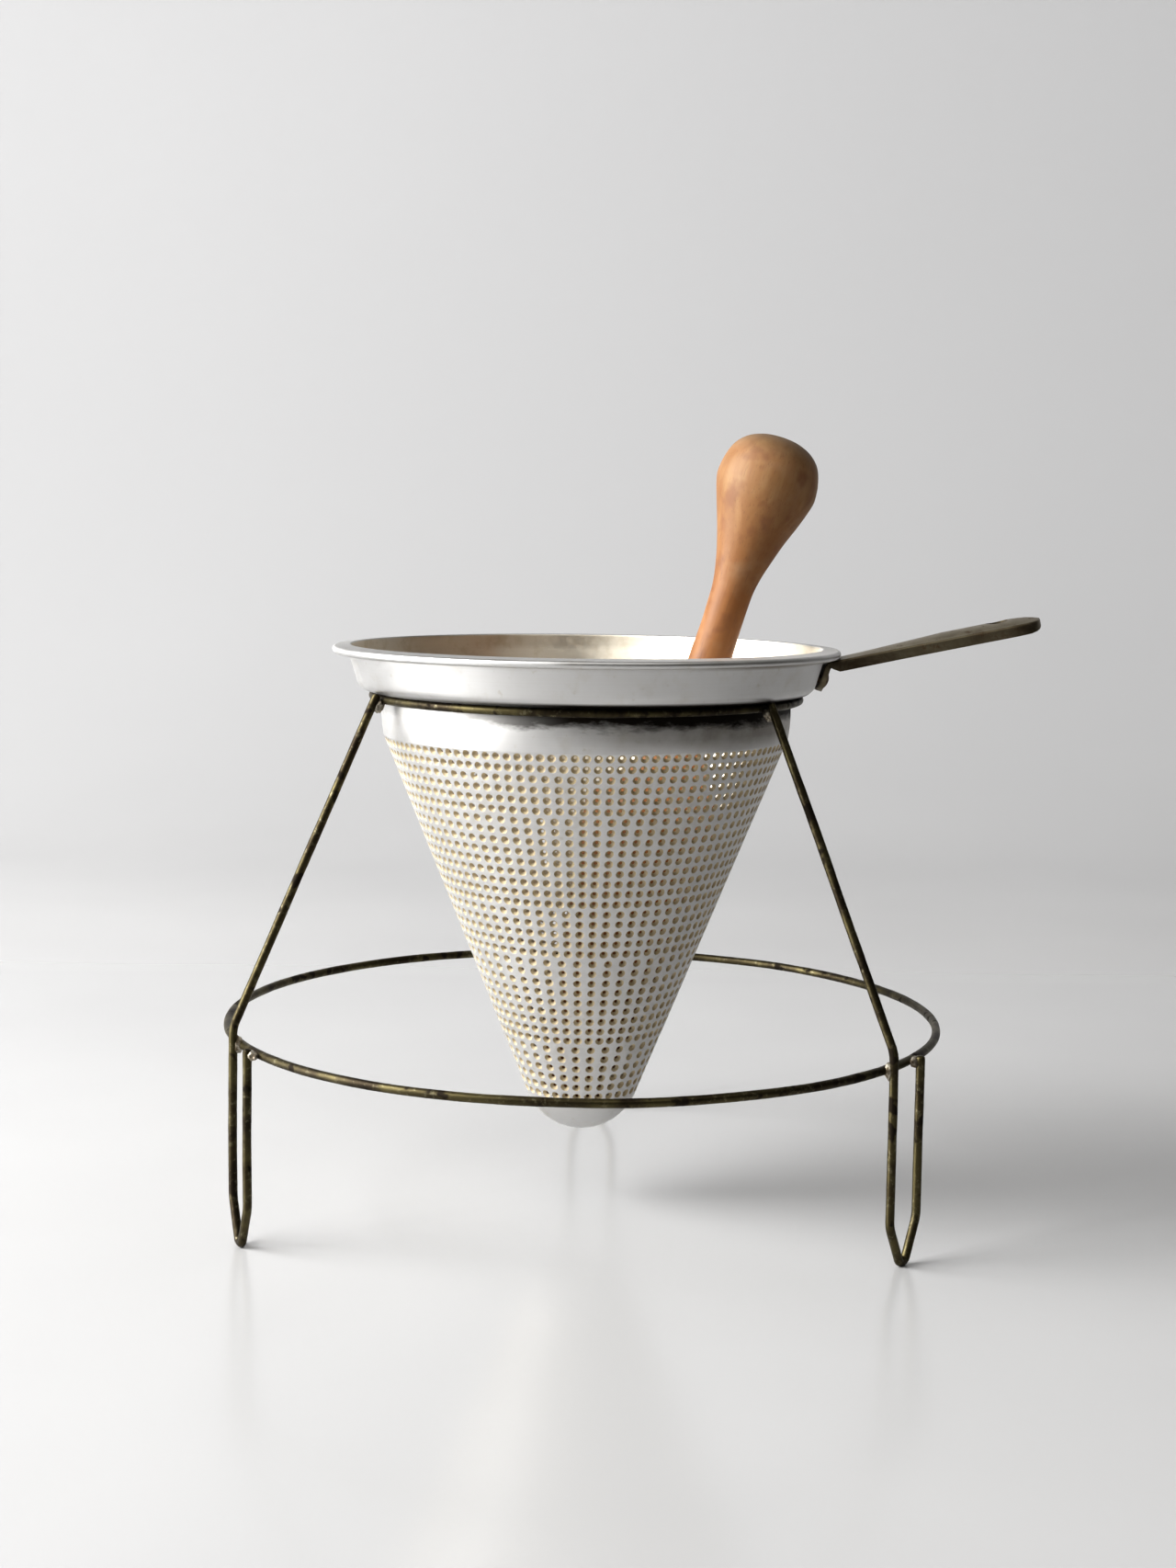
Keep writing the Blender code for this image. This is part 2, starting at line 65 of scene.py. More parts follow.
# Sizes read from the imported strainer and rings
BODY_LOW, BODY_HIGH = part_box("strainer_body")
AXIS = Vector(((BODY_LOW.x + BODY_HIGH.x) / 2, (BODY_LOW.y + BODY_HIGH.y) / 2, 0))
RIM_RADIUS = (BODY_HIGH.x - BODY_LOW.x) / 2
CREST_HEIGHT = BODY_HIGH.z
TIP_HEIGHT = BODY_LOW.z
TOP_RING_LOW, TOP_RING_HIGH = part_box("top_ring")
WIRE_RADIUS = (TOP_RING_HIGH.z - TOP_RING_LOW.z) / 2
TOP_RING_RADIUS = (TOP_RING_HIGH.x - TOP_RING_LOW.x) / 2 - WIRE_RADIUS
TOP_RING_HEIGHT = (TOP_RING_HIGH.z + TOP_RING_LOW.z) / 2
LOWER_RING_LOW, LOWER_RING_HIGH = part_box("lower_ring")
LOWER_RING_RADIUS = (LOWER_RING_HIGH.x - LOWER_RING_LOW.x) / 2 - WIRE_RADIUS
LOWER_RING_HEIGHT = (LOWER_RING_HIGH.z + LOWER_RING_LOW.z) / 2

# Stand: legs of the same wire, each folded back up at its foot
LEG_OFFSET = 3.3 * MM
LEG_TOP_HEIGHT = TOP_RING_HEIGHT + 1.2 * MM
LEG_BEND_HEIGHT = LOWER_RING_HEIGHT + 6.0 * MM
FOOT_WIDTH = 17.0 * MM
FOOT_TAPER_HEIGHT = 15.0 * MM
FOOT_FLAT_LENGTH = 3.6 * MM
KNEE_RADIUS = 12.0 * MM
ANKLE_RADIUS = 9.0 * MM
TOE_RADIUS = 1.9 * MM
LEG_SPACING = 1.6 * MM
RING_SEGMENTS = 240
WIRE_SIDES = 16
WIRE_WANDER = 0.25 * MM
WANDER_SIZE = 38.0 * MM
WIRE_SWELL = 0.05
SWELL_SIZE = 7.0 * MM
WANDER_START = (4.0 * MM, 30.0 * MM)
DOME_SHARE = 0.6

# Solder where wires touch: each bead's half sizes, the last along the bead
TOP_BEAD = Vector((1.8, 1.8, 2.5)) * MM
KNEE_BEAD = Vector((1.9, 1.9, 3.0)) * MM
END_BEAD = Vector((1.9, 1.7, 3.2)) * MM
TOP_BEAD_OUT = 0.7 * MM
TOP_BEAD_DROP = 2.0 * MM

# Strainer: spun sheet with a rolled rim, a collar and a punched cone
SHEET = 1.0 * MM
BEAD_RADIUS = 1.35 * MM
BEAD_HEIGHT = CREST_HEIGHT - 1.8 * MM
CREST_RADIUS = RIM_RADIUS - 6.4 * MM
WALL_TOP_RADIUS = CREST_RADIUS + 1.0 * MM
WALL_SLOPE = 0.30
WALL_TOP_DROP = 2.2 * MM
WALL_DATUM = CREST_HEIGHT - 2.0 * MM
WALL_BEND_RADIUS = 5.0 * MM
SHOULDER_HEIGHT = TOP_RING_HEIGHT + WIRE_RADIUS + 0.35 * MM
COLLAR_TOP_RADIUS = TOP_RING_RADIUS - 2.9 * MM
COLLAR_FOOT = Vector((71.4, 168.6)) * MM
COLLAR_BULGE = 0.35 * MM
COLLAR_BEND_RADIUS = 2.0 * MM
CREASE_ABOVE = Vector((0.03, -0.3)) * MM
CREASE_BELOW = 0.4 * MM
TIP_SPHERE_RADIUS = 21.0 * MM
BOWL_SEGMENTS = 174
BOWL_SPACING = 2.2 * MM
TIP_RINGS = 8
DENT_SIZE = 30.0 * MM
DENT_DEPTH = 0.3 * MM

# Holes: rows of one pitch, in groups of (rows, columns, lead of the front column in degrees)
HOLE_RADIUS = 1.48 * MM
HOLE_TAPER = 0.40
HOLE_SIDES = 10
HOLE_DIMPLE = 0.05 * MM
HOLE_SPREAD = (0.95, 1.04)
HOLE_DRIFT = 0.06 * MM
ROW_PITCH = 3.657 * MM
FIRST_ROW_DROP = 1.95 * MM
FIRST_ROW_EDGE = 1.7 * MM
HOLE_GROUPS = ((2, 116, 0.5), (4, 99, 0.0), (9, 82, -0.3), (5, 66, -1.4), (9, 49, -2.6),
               (6, 33, -4.4))
GROUP_SEAM = 0.15 * MM

# Handle: a pressed channel with a crowned back
HANDLE_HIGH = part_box("handle")[1]
HANDLE_SHEET = 1.1 * MM
HANDLE_RISE = 12.0
HANDLE_BEND_RADIUS = 3.2 * MM
HANDLE_HALF_WIDTH_ROOT = 7.5 * MM
HANDLE_HALF_WIDTH_END = 10.0 * MM
HANDLE_WAIST = 1.2 * MM
HANDLE_DEPTH = 4.0 * MM
HANDLE_REACH = HANDLE_HIGH.x - AXIS.x - HANDLE_DEPTH * math.sin(math.radians(HANDLE_RISE))
FLANGE_ROOT_DEPTH = 2.1 * MM
FLANGE_GROWTH = (10.5 * MM, 14.5 * MM)
FLANGE_FADE = 0.45
HANDLE_CROWN = 1.9 * MM
CROWN_GROWTH = 1.8
CROWN_FADE = 0.85
HANDLE_EDGE = 0.9 * MM
LEAST_EDGE = 0.15 * MM
END_BLUNTNESS = 0.012
BEAD_CLEARANCE = 0.6 * MM
CHANNEL_OVERCUT = 1.0 * MM
HANDLE_SPACING = 2.5 * MM
FOOT_PLATE_HALF_WIDTH = 9.5 * MM
FOOT_PLATE_LENGTH = 9.5 * MM
FOOT_PLATE_BOTTOM = 185.6 * MM
FOOT_PLATE_GAP = 0.35 * MM
FOOT_PLATE_ROUNDING = 5.0 * MM
FOOT_PLATE_NARROWING = 0.8
FOOT_PLATE_FLARE = 1.6
HANG_HOLE_RADIUS = 4.0 * MM
HANG_HOLE_INSET = 15.0 * MM
BEVEL_WIDTH = 0.22 * MM

# Rivets through the foot plate and the bowl's wall
RIVET_SPACING = 10.4 * MM
RIVET_HEIGHT = 189.6 * MM
RIVET_SHANK_RADIUS = 1.5 * MM
RIVET_HEAD_RADIUS = 3.1 * MM
RIVET_HEAD_HEIGHT = 1.9 * MM
RIVET_INNER_HEAD_HEIGHT = 0.8 * MM
RIVET_SEAT_GAP = 0.2 * MM
RIVET_INNER_GAP = 0.4 * MM
RIVET_PLAY = 0.1 * MM
DRILL_SEGMENTS = 40

# Pestle: one turned piece of wood leaning against the cone's wall
PESTLE_LENGTH = 256.5 * MM
PESTLE_TIP_RADIUS = 11.0 * MM
PESTLE_SHOULDER = Vector((27.7, 116.0)) * MM
SHOULDER_TOP = Vector((17.0, 127.0)) * MM
NECK_FOOT = Vector((9.5, 136.0)) * MM
NECK = Vector((7.6, 168.0)) * MM
KNOB_BELLY = Vector((18.2, 241.0)) * MM
PESTLE_TIP_CENTRE = Vector((-4.1, 0.0, 40.3)) * MM
PESTLE_LEAN = Vector((0.3125, 0.095, 1.0))
PESTLE_SEGMENTS = 96
PESTLE_SPACING = 4.0 * MM
PESTLE_TURN = UP.rotation_difference(PESTLE_LEAN)
PESTLE_FOOT = PESTLE_TIP_CENTRE - PESTLE_LEAN.normalized() * PESTLE_TIP_RADIUS
WEAR_SIZES = (14.0 * MM, 5.0 * MM)
WEAR_DEPTHS = (0.22 * MM, 0.06 * MM)
WEAR_LOSS = 0.15 * MM
WEAR_START = 3.0 * MM

# View: a little above the rim, from the front
CAMERA_PLACE = AXIS + Vector((1.5, -815.0, 242.3)) * MM
CAMERA_PITCH = 0.1119
CAMERA_ROLL = 0.0127
CAMERA_YAW = -0.0006
CAMERA_LENS = 53.1

# Light: a tall window on the left in a dim room, with a pale wall behind and ceiling above
LIGHT_TARGET = AXIS + Vector((0, 0, 0.12))
WINDOW_POWER = 79.0
WINDOW_DISTANCE = 1.6
WINDOW_MIDDLE = 0.85
WINDOW_TALL = 1.7
WINDOW_COLOUR = (1.0, 0.995, 0.985)
CEILING_POWER = 14.0
CEILING_PLACE = AXIS + Vector((0.2, -1.1, 2.3))
CEILING_SIZE = (3.0, 2.0)
CEILING_COLOUR = (1.0, 0.99, 0.97)
WALL_GLOW = 0.22
ROOM_LIGHT = 0.05
ROOM_COLOUR = (1.0, 0.92, 0.82, 1)

# Table and wall: one sheet that sweeps up behind, dull from just behind the object
TABLE_FRONT = -3.0
TABLE_HALF_WIDTH = 4.0
WALL_PLACE = 1.5
WALL_HEIGHT = 3.5
SWEEP_RADIUS = 0.7
WALL_FADE = (0.5, 1.4)
GLOSS_FADE = (0.40, 0.60)


# ---- helpers

def lerp(a, b, t):
    return a + (b - a) * t


def polar(radius, angle, height=0.0):
    return Vector((radius * math.cos(angle), radius * math.sin(angle), height))


def smooth_step(low, high, value):
    t = min(1.0, max(0.0, (value - low) / (high - low)))
    return t * t * (3 - 2 * t)


def show(obj):
    bpy.context.scene.collection.objects.link(obj)


def make_piece(name, mesh, body, nodes=(), finishes=(), place=Matrix.Identity(4)):
    """A smooth-shaded piece on the cone's axis that rides on a body and stands for CAD nodes."""
    mesh.transform(place)
    for finish in finishes:
        mesh.materials.append(finish)
    mesh.shade_smooth()
    mesh.set_sharp_from_angle(angle=SHARP_ANGLE)
    piece = bpy.data.objects.new(name, mesh)
    piece.location = AXIS
    show(piece)
    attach(piece, body)
    if nodes:
        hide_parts(*nodes)
    return piece


def bridge(bm, a, b):
    """Quads between two closed sections of the same count."""
    for k in range(len(a)):
        n = (k + 1) % len(a)
        bm.faces.new((a[k], a[n], b[n], b[k]))


def mesh_of(name, bm):
    bmesh.ops.recalc_face_normals(bm, faces=bm.faces)
    mesh = bpy.data.meshes.new(name)
    bm.to_mesh(mesh)
    bm.free()
    return mesh


def fillet(corners, steps):
    """Polyline through (point, radius) corners, each inner corner rounded by an arc."""
    points = [corners[0][0].copy()]
    for (before, _), (corner, radius), (after, _) in zip(corners, corners[1:], corners[2:]):
        back = (before - corner).normalized()
        ahead = (after - corner).normalized()
        half = back.angle(ahead) / 2
        if radius <= 0 or half > math.radians(89):
            points.append(corner.copy())
            continue
        tangent = radius / math.tan(half)
        centre = corner + (back + ahead).normalized() * (radius / math.sin(half))
        first = corner + back * tangent - centre
        last = corner + ahead * tangent - centre
        sweep = first.angle(last)
        for i in range(steps + 1):
            t = i / steps
            arc = first * math.sin((1 - t) * sweep) + last * math.sin(t * sweep)
            points.append(centre + arc / math.sin(sweep))
    points.append(corners[-1][0].copy())
    return points


def smooth_line(points, steps):
    """Catmull-Rom curve through points, with steps intervals between each pair."""
    ends = [points[0] * 2 - points[1]] + list(points) + [points[-1] * 2 - points[-2]]
    curve = []
    for a, b, c, d in zip(ends, ends[1:], ends[2:], ends[3:]):
        for i in range(steps):
            t = i / steps
            curve.append(0.5 * (2 * b + (c - a) * t + (2 * a - 5 * b + 4 * c - d) * t * t
                                + (3 * b - a - 3 * c + d) * t ** 3))
    curve.append(points[-1].copy())
    return curve


def evenly(points, spacing):
    """The same line with points added so that none is further apart than spacing."""
    line = [points[0]]
    for a, b in zip(points, points[1:]):
        count = max(1, math.ceil((b - a).length / spacing))
        line += [lerp(a, b, k / count) for k in range(1, count + 1)]
    return line


def offset_line(points, distance):
    """Move a (radius, height) polyline sideways, to its right, by a distance."""
    moved = []
    last = len(points) - 1
    for i, point in enumerate(points):
        before = point - points[max(i - 1, 0)]
        after = points[min(i + 1, last)] - point
        sides = [Vector((v.y, -v.x)).normalized() for v in (before, after) if v.length > 0]
        side = sum(sides, Vector((0, 0))).normalized()
        moved.append(point + side * distance / side.dot(sides[0]))
    return moved


# ---- node graphs

class Graph:
    """One material's node tree, with short calls for the nodes that the finishes share."""

    def __init__(self, name, metallic, anisotropic=0.0):
        self.material = bpy.data.materials.new(name)
        self.material.use_nodes = True
        self.tree = self.material.node_tree
        self.shader = self.tree.nodes["Principled BSDF"]
        self.shader.inputs["Metallic"].default_value = metallic
        self.shader.inputs["Anisotropic"].default_value = anisotropic
        coordinates = self.add("ShaderNodeTexCoord").outputs
        self.place = coordinates["Object"]
        self.normal = coordinates["Normal"]

    def feed(self, socket, value):
        if isinstance(value, bpy.types.NodeSocket):
            self.tree.links.new(value, socket)
        else:
            socket.default_value = value

    def add(self, kind, inputs=None, **settings):
        node = self.tree.nodes.new(kind)
        for key, value in settings.items():
            setattr(node, key, value)
        for key, value in (inputs or {}).items():
            self.feed(node.inputs[key], value)
        return node

    def stretched(self, scale, place=None):
        """The place scaled differently along each axis."""
        node = self.add("ShaderNodeMapping", {"Vector": place or self.place, "Scale": scale})
        return node.outputs["Vector"]

    def radial_place(self):
        """Distance from the cone's axis and height: the same all round, as a lathe's marks are."""
        x, y = (self.times(self.axis(name), self.axis(name)) for name in "XY")
        radius = self.math("SQRT", self.plus(x, y))
        joined = self.add("ShaderNodeCombineXYZ", {"X": radius, "Y": self.axis("Z")})
        return joined.outputs["Vector"]

    def axis(self, name, vector=None):
        """One coordinate of the place, or of another vector."""
        return self.add("ShaderNodeSeparateXYZ", {"Vector": vector or self.place}).outputs[name]

    def math(self, operation, a, b=0.0):
        return self.add("ShaderNodeMath", {0: a, 1: b}, operation=operation).outputs[0]

    def plus(self, a, b):
        return self.math("ADD", a, b)

    def times(self, a, b):
        return self.math("MULTIPLY", a, b)

    def noise(self, size, place=None, detail=3.0, rough=0.5, distort=0.0):
        """Soft noise whose patches are about size metres across."""
        node = self.add("ShaderNodeTexNoise", {
            "Vector": place or self.place, "Scale": 1 / size, "Detail": detail,
            "Roughness": rough, "Distortion": distort})
        return node.outputs["Fac"]

    def span(self, value, start, end, low=0.0, high=1.0):
        """Value from start to end becomes low to high, with no overshoot."""
        node = self.add("ShaderNodeMapRange", {
            "Value": value, "From Min": start, "From Max": end, "To Min": low, "To Max": high})
        return node.outputs["Result"]

    def mix(self, factor, a, b, blend="MIX"):
        node = self.tree.nodes.new("ShaderNodeMix")
        node.data_type = "RGBA"
        node.blend_type = blend
        for index, value in ((0, factor), (6, a), (7, b)):
            self.feed(node.inputs[index], value)
        return node.outputs[2]

    def bump(self, height, distance, under=None, strength=1.0):
        inputs = {"Height": height, "Distance": distance, "Strength": strength}
        if under:
            inputs["Normal"] = under
        return self.add("ShaderNodeBump", inputs).outputs["Normal"]

    def finish(self, colour, roughness, normal):
        self.feed(self.shader.inputs["Base Color"], colour)
        self.feed(self.shader.inputs["Roughness"], roughness)
        self.feed(self.shader.inputs["Normal"], normal)
        return self.material


def grey(value, warm=0.0):
    """A near-neutral colour; warm moves it towards yellow."""
    return (value * (1 + 0.5 * warm), value, value * (1 - warm), 1.0)


# ---- finishes

def spun_aluminium(name, clean, stained, stain_share, roughness, paint_shade):
    """Satin sheet with lathe rings, smudges, stains and dents; the outside also gets painted shade on
    the collar and under the rim.
    """
    g = Graph(name, metallic=1.0, anisotropic=0.35)
    rings = g.noise(0.35 * MM, g.radial_place(), detail=2.0)
    smudge = g.noise(28 * MM, detail=2.0, rough=0.5)
    specks = g.noise(2.6 * MM, detail=2.0, rough=0.5)
    stain = g.span(g.noise(9 * MM, detail=5.0, rough=0.65), 0.52, 0.72, 0.0, stain_share)
    colour = g.mix(stain, clean, stained)
    colour = g.mix(g.span(rings, 0.3, 0.7, 0.0, 0.10), colour, stained)
    colour = g.mix(g.span(specks, 0.68, 0.76, 0.0, 0.30), colour, stained)
    rough = g.plus(g.span(smudge, 0.3, 0.7, roughness - 0.06, roughness + 0.08),
                   g.span(specks, 0.5, 0.8, 0.0, 0.08))
    cone = g.span(g.axis("Z"), COLLAR_FOOT.y - 2 * MM, COLLAR_FOOT.y, 0.12, 0.0)
    rough = g.plus(rough, cone)
    if paint_shade:
        # Painted shade: a brownish film on the collar's right and a thin line under the bead, then a
        # near-black painted shadow and reflection of the ring under the bowl.
        shade_film = (0.19, 0.165, 0.13, 1)
        shade_black = (0.02, 0.016, 0.012, 1)
        colour = g.mix(collar_painted_shade(g), colour, shade_film)
        ring_shade = painted_ring_shadow(g)
        colour = g.mix(ring_shade, colour, shade_black)
        rough = g.plus(rough, g.times(ring_shade, 0.2))
    dents = g.bump(g.noise(22 * MM, detail=0.0), 0.4 * MM, strength=0.4)
    return g.finish(colour, rough, g.bump(rings, 0.01 * MM, dents, strength=0.25))


def collar_painted_shade(g):
    """Painted shade: a brownish grey film on the collar's right, the side away from the window,
    broken up by cloudy noise, and a thin painted shadow under the rolled rim, heavier towards the
    handle.
    """
    height = g.axis("Z")
    cloudy = g.span(g.noise(14 * MM, detail=4.0, rough=0.6), 0.25, 0.6, 0.35, 1.0)
    # Painted shade grows towards the collar's right, away from the window.
    side = g.span(g.axis("X"), -10 * MM, 40 * MM, 0.0, 0.65)
    above_foot = g.span(height, COLLAR_FOOT.y - 1 * MM, COLLAR_FOOT.y + 4 * MM)
    below_bowl = g.span(height, SHOULDER_HEIGHT - 1 * MM, SHOULDER_HEIGHT, 1.0, 0.0)
    shade_film = g.times(g.times(above_foot, below_bowl), g.times(cloudy, side))
    # A thin painted shadow under the rolled bead.
    rim = g.times(g.span(height, CREST_HEIGHT - 4.4 * MM, CREST_HEIGHT - 3.4 * MM),
                  g.span(height, CREST_HEIGHT - 2.9 * MM, CREST_HEIGHT - 2.5 * MM, 1.0, 0.0))
    away_from_window = g.span(g.axis("X"), 30 * MM, 60 * MM, 0.15, 0.9)
    return g.math("MAXIMUM", shade_film, g.times(rim, away_from_window))


def painted_ring_shadow(g):
    """Painted shadow and painted reflection of the stand's ring: a near-black ragged band on the
    collar just under the bowl, heavier towards the handle, the side away from the window.
    """
    height = g.axis("Z")
    ragged = g.noise(6 * MM, g.stretched((0.35, 0.35, 1.0)), detail=4.0, rough=0.7)
    edge = g.plus(height, g.times(ragged, 9 * MM))
    # The band of painted shadow, with a ragged lower edge.
    band = g.span(edge, SHOULDER_HEIGHT - 4.0 * MM, SHOULDER_HEIGHT - 1.0 * MM)
    below = g.span(height, SHOULDER_HEIGHT + 0.5 * MM, SHOULDER_HEIGHT + 1.5 * MM, 1.0, 0.0)
    shaded_side = g.span(g.axis("X"), -55 * MM, -5 * MM, 0.3, 1.0)
    return g.times(g.times(band, below), shaded_side)


def punched_edge():
    """Diffuse tan on the walls inside each hole, set so that the holes read as bright tan spots; two
    tans in patches.
    """
    g = Graph("punched_edge", metallic=0.0)
    light_tan = (0.51, 0.425, 0.28, 1)
    tan = (0.41, 0.335, 0.21, 1)
    patches = g.noise(5 * MM, detail=3.0)
    colour = g.mix(g.span(patches, 0.35, 0.65), light_tan, tan)
    rough = g.span(patches, 0.3, 0.7, 0.65, 0.8)
    return g.finish(colour, rough, g.bump(g.noise(0.5 * MM), 0.05 * MM))


def aged_wire(name):
    """Tinned wire gone olive and brown, rubbed bright in places and black in others."""
    g = Graph(name, metallic=0.88)
    olive = (0.082, 0.069, 0.032, 1)
    brown = (0.026, 0.019, 0.011, 1)
    bright = (0.22, 0.20, 0.13, 1)
    black = (0.018, 0.013, 0.009, 1)
    broad = g.noise(16 * MM, detail=3.0, rough=0.6, distort=0.5)
    fine = g.noise(2.2 * MM, detail=4.0, rough=0.7)
    spots = g.noise(5.5 * MM, detail=2.0)
    colour = g.mix(g.span(broad, 0.38, 0.62), olive, brown)
    colour = g.mix(g.span(fine, 0.55, 0.7, 0.0, 0.55), colour, bright)
    colour = g.mix(g.span(spots, 0.60, 0.66, 0.0, 0.9), colour, black)
    rough = g.plus(g.span(broad, 0.3, 0.7, 0.38, 0.50), g.span(spots, 0.58, 0.66, 0.0, 0.25))
    pits = g.bump(fine, 0.12 * MM, strength=0.7)
    return g.finish(colour, rough, g.bump(spots, 0.15 * MM, pits, strength=0.5))


def solder():
    """Lumpy grey-brown joints between the wires."""
    g = Graph("solder", metallic=0.8)
    dull = (0.15, 0.12, 0.08, 1)
    bright = (0.50, 0.47, 0.40, 1)
    lumps = g.noise(3 * MM, detail=4.0, rough=0.65)
    colour = g.mix(g.span(lumps, 0.4, 0.65), dull, bright)
    rough = g.span(lumps, 0.3, 0.7, 0.55, 0.36)
    return g.finish(colour, rough, g.bump(lumps, 0.4 * MM))


def handle_steel():
    """Dull brown plate, paler along the crown's upward faces, partly scuffing and partly painted top
    light, with rust and fine scratches.
    """
    g = Graph("handle_steel", metallic=0.82)
    tinned = (0.17, 0.145, 0.095, 1)
    brown = (0.075, 0.055, 0.034, 1)
    scratched = (0.24, 0.21, 0.15, 1)
    polished_and_lit = (0.25, 0.222, 0.165, 1)
    rusted = (0.07, 0.035, 0.015, 1)
    along = g.stretched((0.12, 1.0, 1.0))
    drawn = g.noise(1.2 * MM, along, detail=4.0, rough=0.7)
    patches = g.noise(11 * MM, detail=4.0, rough=0.6, distort=0.6)
    rust = g.noise(4 * MM, detail=5.0, rough=0.7)
    colour = g.mix(g.span(patches, 0.35, 0.65), tinned, brown)
    colour = g.mix(g.span(drawn, 0.52, 0.75, 0.0, 0.3), colour, scratched)
    # Upward faces mixed towards a paler colour: partly rubbed wear, partly painted light on the top.
    upward = g.span(g.axis("Z", g.normal), 0.80, 0.97)
    worn = g.times(upward, g.span(drawn, 0.2, 0.7, 0.35, 0.7))
    colour = g.mix(worn, colour, polished_and_lit)
    colour = g.mix(g.span(rust, 0.58, 0.70, 0.0, 0.75), colour, rusted)
    rough = g.plus(g.span(patches, 0.3, 0.7, 0.34, 0.48), g.span(rust, 0.55, 0.7, 0.0, 0.2))
    normal = g.bump(drawn, 0.05 * MM, strength=0.6)
    return g.finish(colour, rough, g.bump(rust, 0.12 * MM, normal, strength=0.6))


def rivet_steel():
    """Dark, rusted rivet heads."""
    g = Graph("rivet_steel", metallic=0.75)
    steel = (0.16, 0.12, 0.075, 1)
    rusted = (0.055, 0.026, 0.012, 1)
    rust = g.noise(1.8 * MM, detail=4.0, rough=0.7)
    colour = g.mix(g.span(rust, 0.4, 0.62), steel, rusted)
    rough = g.span(rust, 0.35, 0.65, 0.40, 0.62)
    return g.finish(colour, rough, g.bump(rust, 0.15 * MM))


def worn_wood():
    """Turned hardwood: long grain, pores, handling stains and a greyed crown."""
    g = Graph("worn_wood", metallic=0.0)
    g.shader.inputs["Specular IOR Level"].default_value = 0.33
    neck = ((0.32, 0.145, 0.055, 1), (0.24, 0.10, 0.034, 1))
    handled = ((0.31, 0.175, 0.078, 1), (0.24, 0.115, 0.045, 1))
    red_streak = (0.26, 0.12, 0.05, 1)
    pore = (0.16, 0.075, 0.035, 1)
    bleached = (0.42, 0.28, 0.17, 1)
    stain = (0.17, 0.07, 0.035, 1)
    greyed = (0.15, 0.105, 0.06, 1)
    g.place = g.add("ShaderNodeMapping", {
        "Vector": g.place, "Location": PESTLE_FOOT, "Rotation": PESTLE_TURN.to_euler()},
        vector_type="TEXTURE").outputs["Vector"]
    streaks = g.noise(2.6 * MM, g.stretched((1.0, 1.0, 0.06)), detail=4.0, rough=0.6, distort=0.4)
    bands = g.noise(9 * MM, g.stretched((1.0, 1.0, 0.14)), detail=2.0, distort=1.2)
    pores = g.noise(0.55 * MM, g.stretched((1.0, 1.0, 0.045)), detail=2.0, rough=0.6)
    blotch = g.noise(17 * MM, detail=3.0, rough=0.55)
    marks = g.noise(9 * MM, detail=2.0, rough=0.5)
    height = g.axis("Z")
    crown = g.span(height, PESTLE_LENGTH - 10 * MM, PESTLE_LENGTH - 1 * MM)
    knob = g.span(height, 195 * MM, 235 * MM)
    warm, worn = (g.mix(g.span(bands, 0.35, 0.65), *pair) for pair in (neck, handled))
    colour = g.mix(knob, warm, worn)
    colour = g.mix(g.span(streaks, 0.45, 0.75, 0.0, 0.55), colour, red_streak)
    colour = g.mix(g.span(pores, 0.58, 0.72, 0.0, 0.5), colour, pore)
    colour = g.mix(g.span(blotch, 0.5, 0.72, 0.0, 0.4), colour, bleached)
    colour = g.mix(g.span(marks, 0.53, 0.68, 0.0, 0.55), colour, stain)
    colour = g.mix(g.times(crown, 0.75), colour, greyed)
    rough = g.span(blotch, 0.3, 0.7, 0.48, 0.62)
    normal = g.bump(streaks, 0.10 * MM, strength=0.4)
    normal = g.bump(pores, 0.10 * MM, normal, strength=0.5)
    return g.finish(colour, rough, g.bump(marks, 0.25 * MM, normal, strength=0.4))


def pale_table():
    """Smooth white top with a soft gloss; the wall is dull, greyer and glows faintly."""
    g = Graph("pale_table", metallic=0.0)
    white = (0.51, 0.51, 0.514, 1)
    clouded = (0.48, 0.48, 0.484, 1)
    painted = (0.30, 0.30, 0.303, 1)
    wall_light = (1.0, 1.0, 1.01, 1)
    cloud = g.noise(0.22, detail=2.0)
    colour = g.mix(g.span(cloud, 0.3, 0.7), clouded, white)
    back = g.axis("Y")
    wall = g.span(back, *WALL_FADE)
    rough = g.plus(g.span(cloud, 0.3, 0.7, 0.16, 0.22), g.span(back, *GLOSS_FADE, 0.0, 0.55))
    colour = g.mix(wall, colour, painted)
    g.feed(g.shader.inputs["Emission Color"], wall_light)
    g.feed(g.shader.inputs["Emission Strength"], g.times(wall, WALL_GLOW))
    return g.finish(colour, rough, g.bump(g.noise(4 * MM), 0.02 * MM, strength=0.2))


# ---- strainer

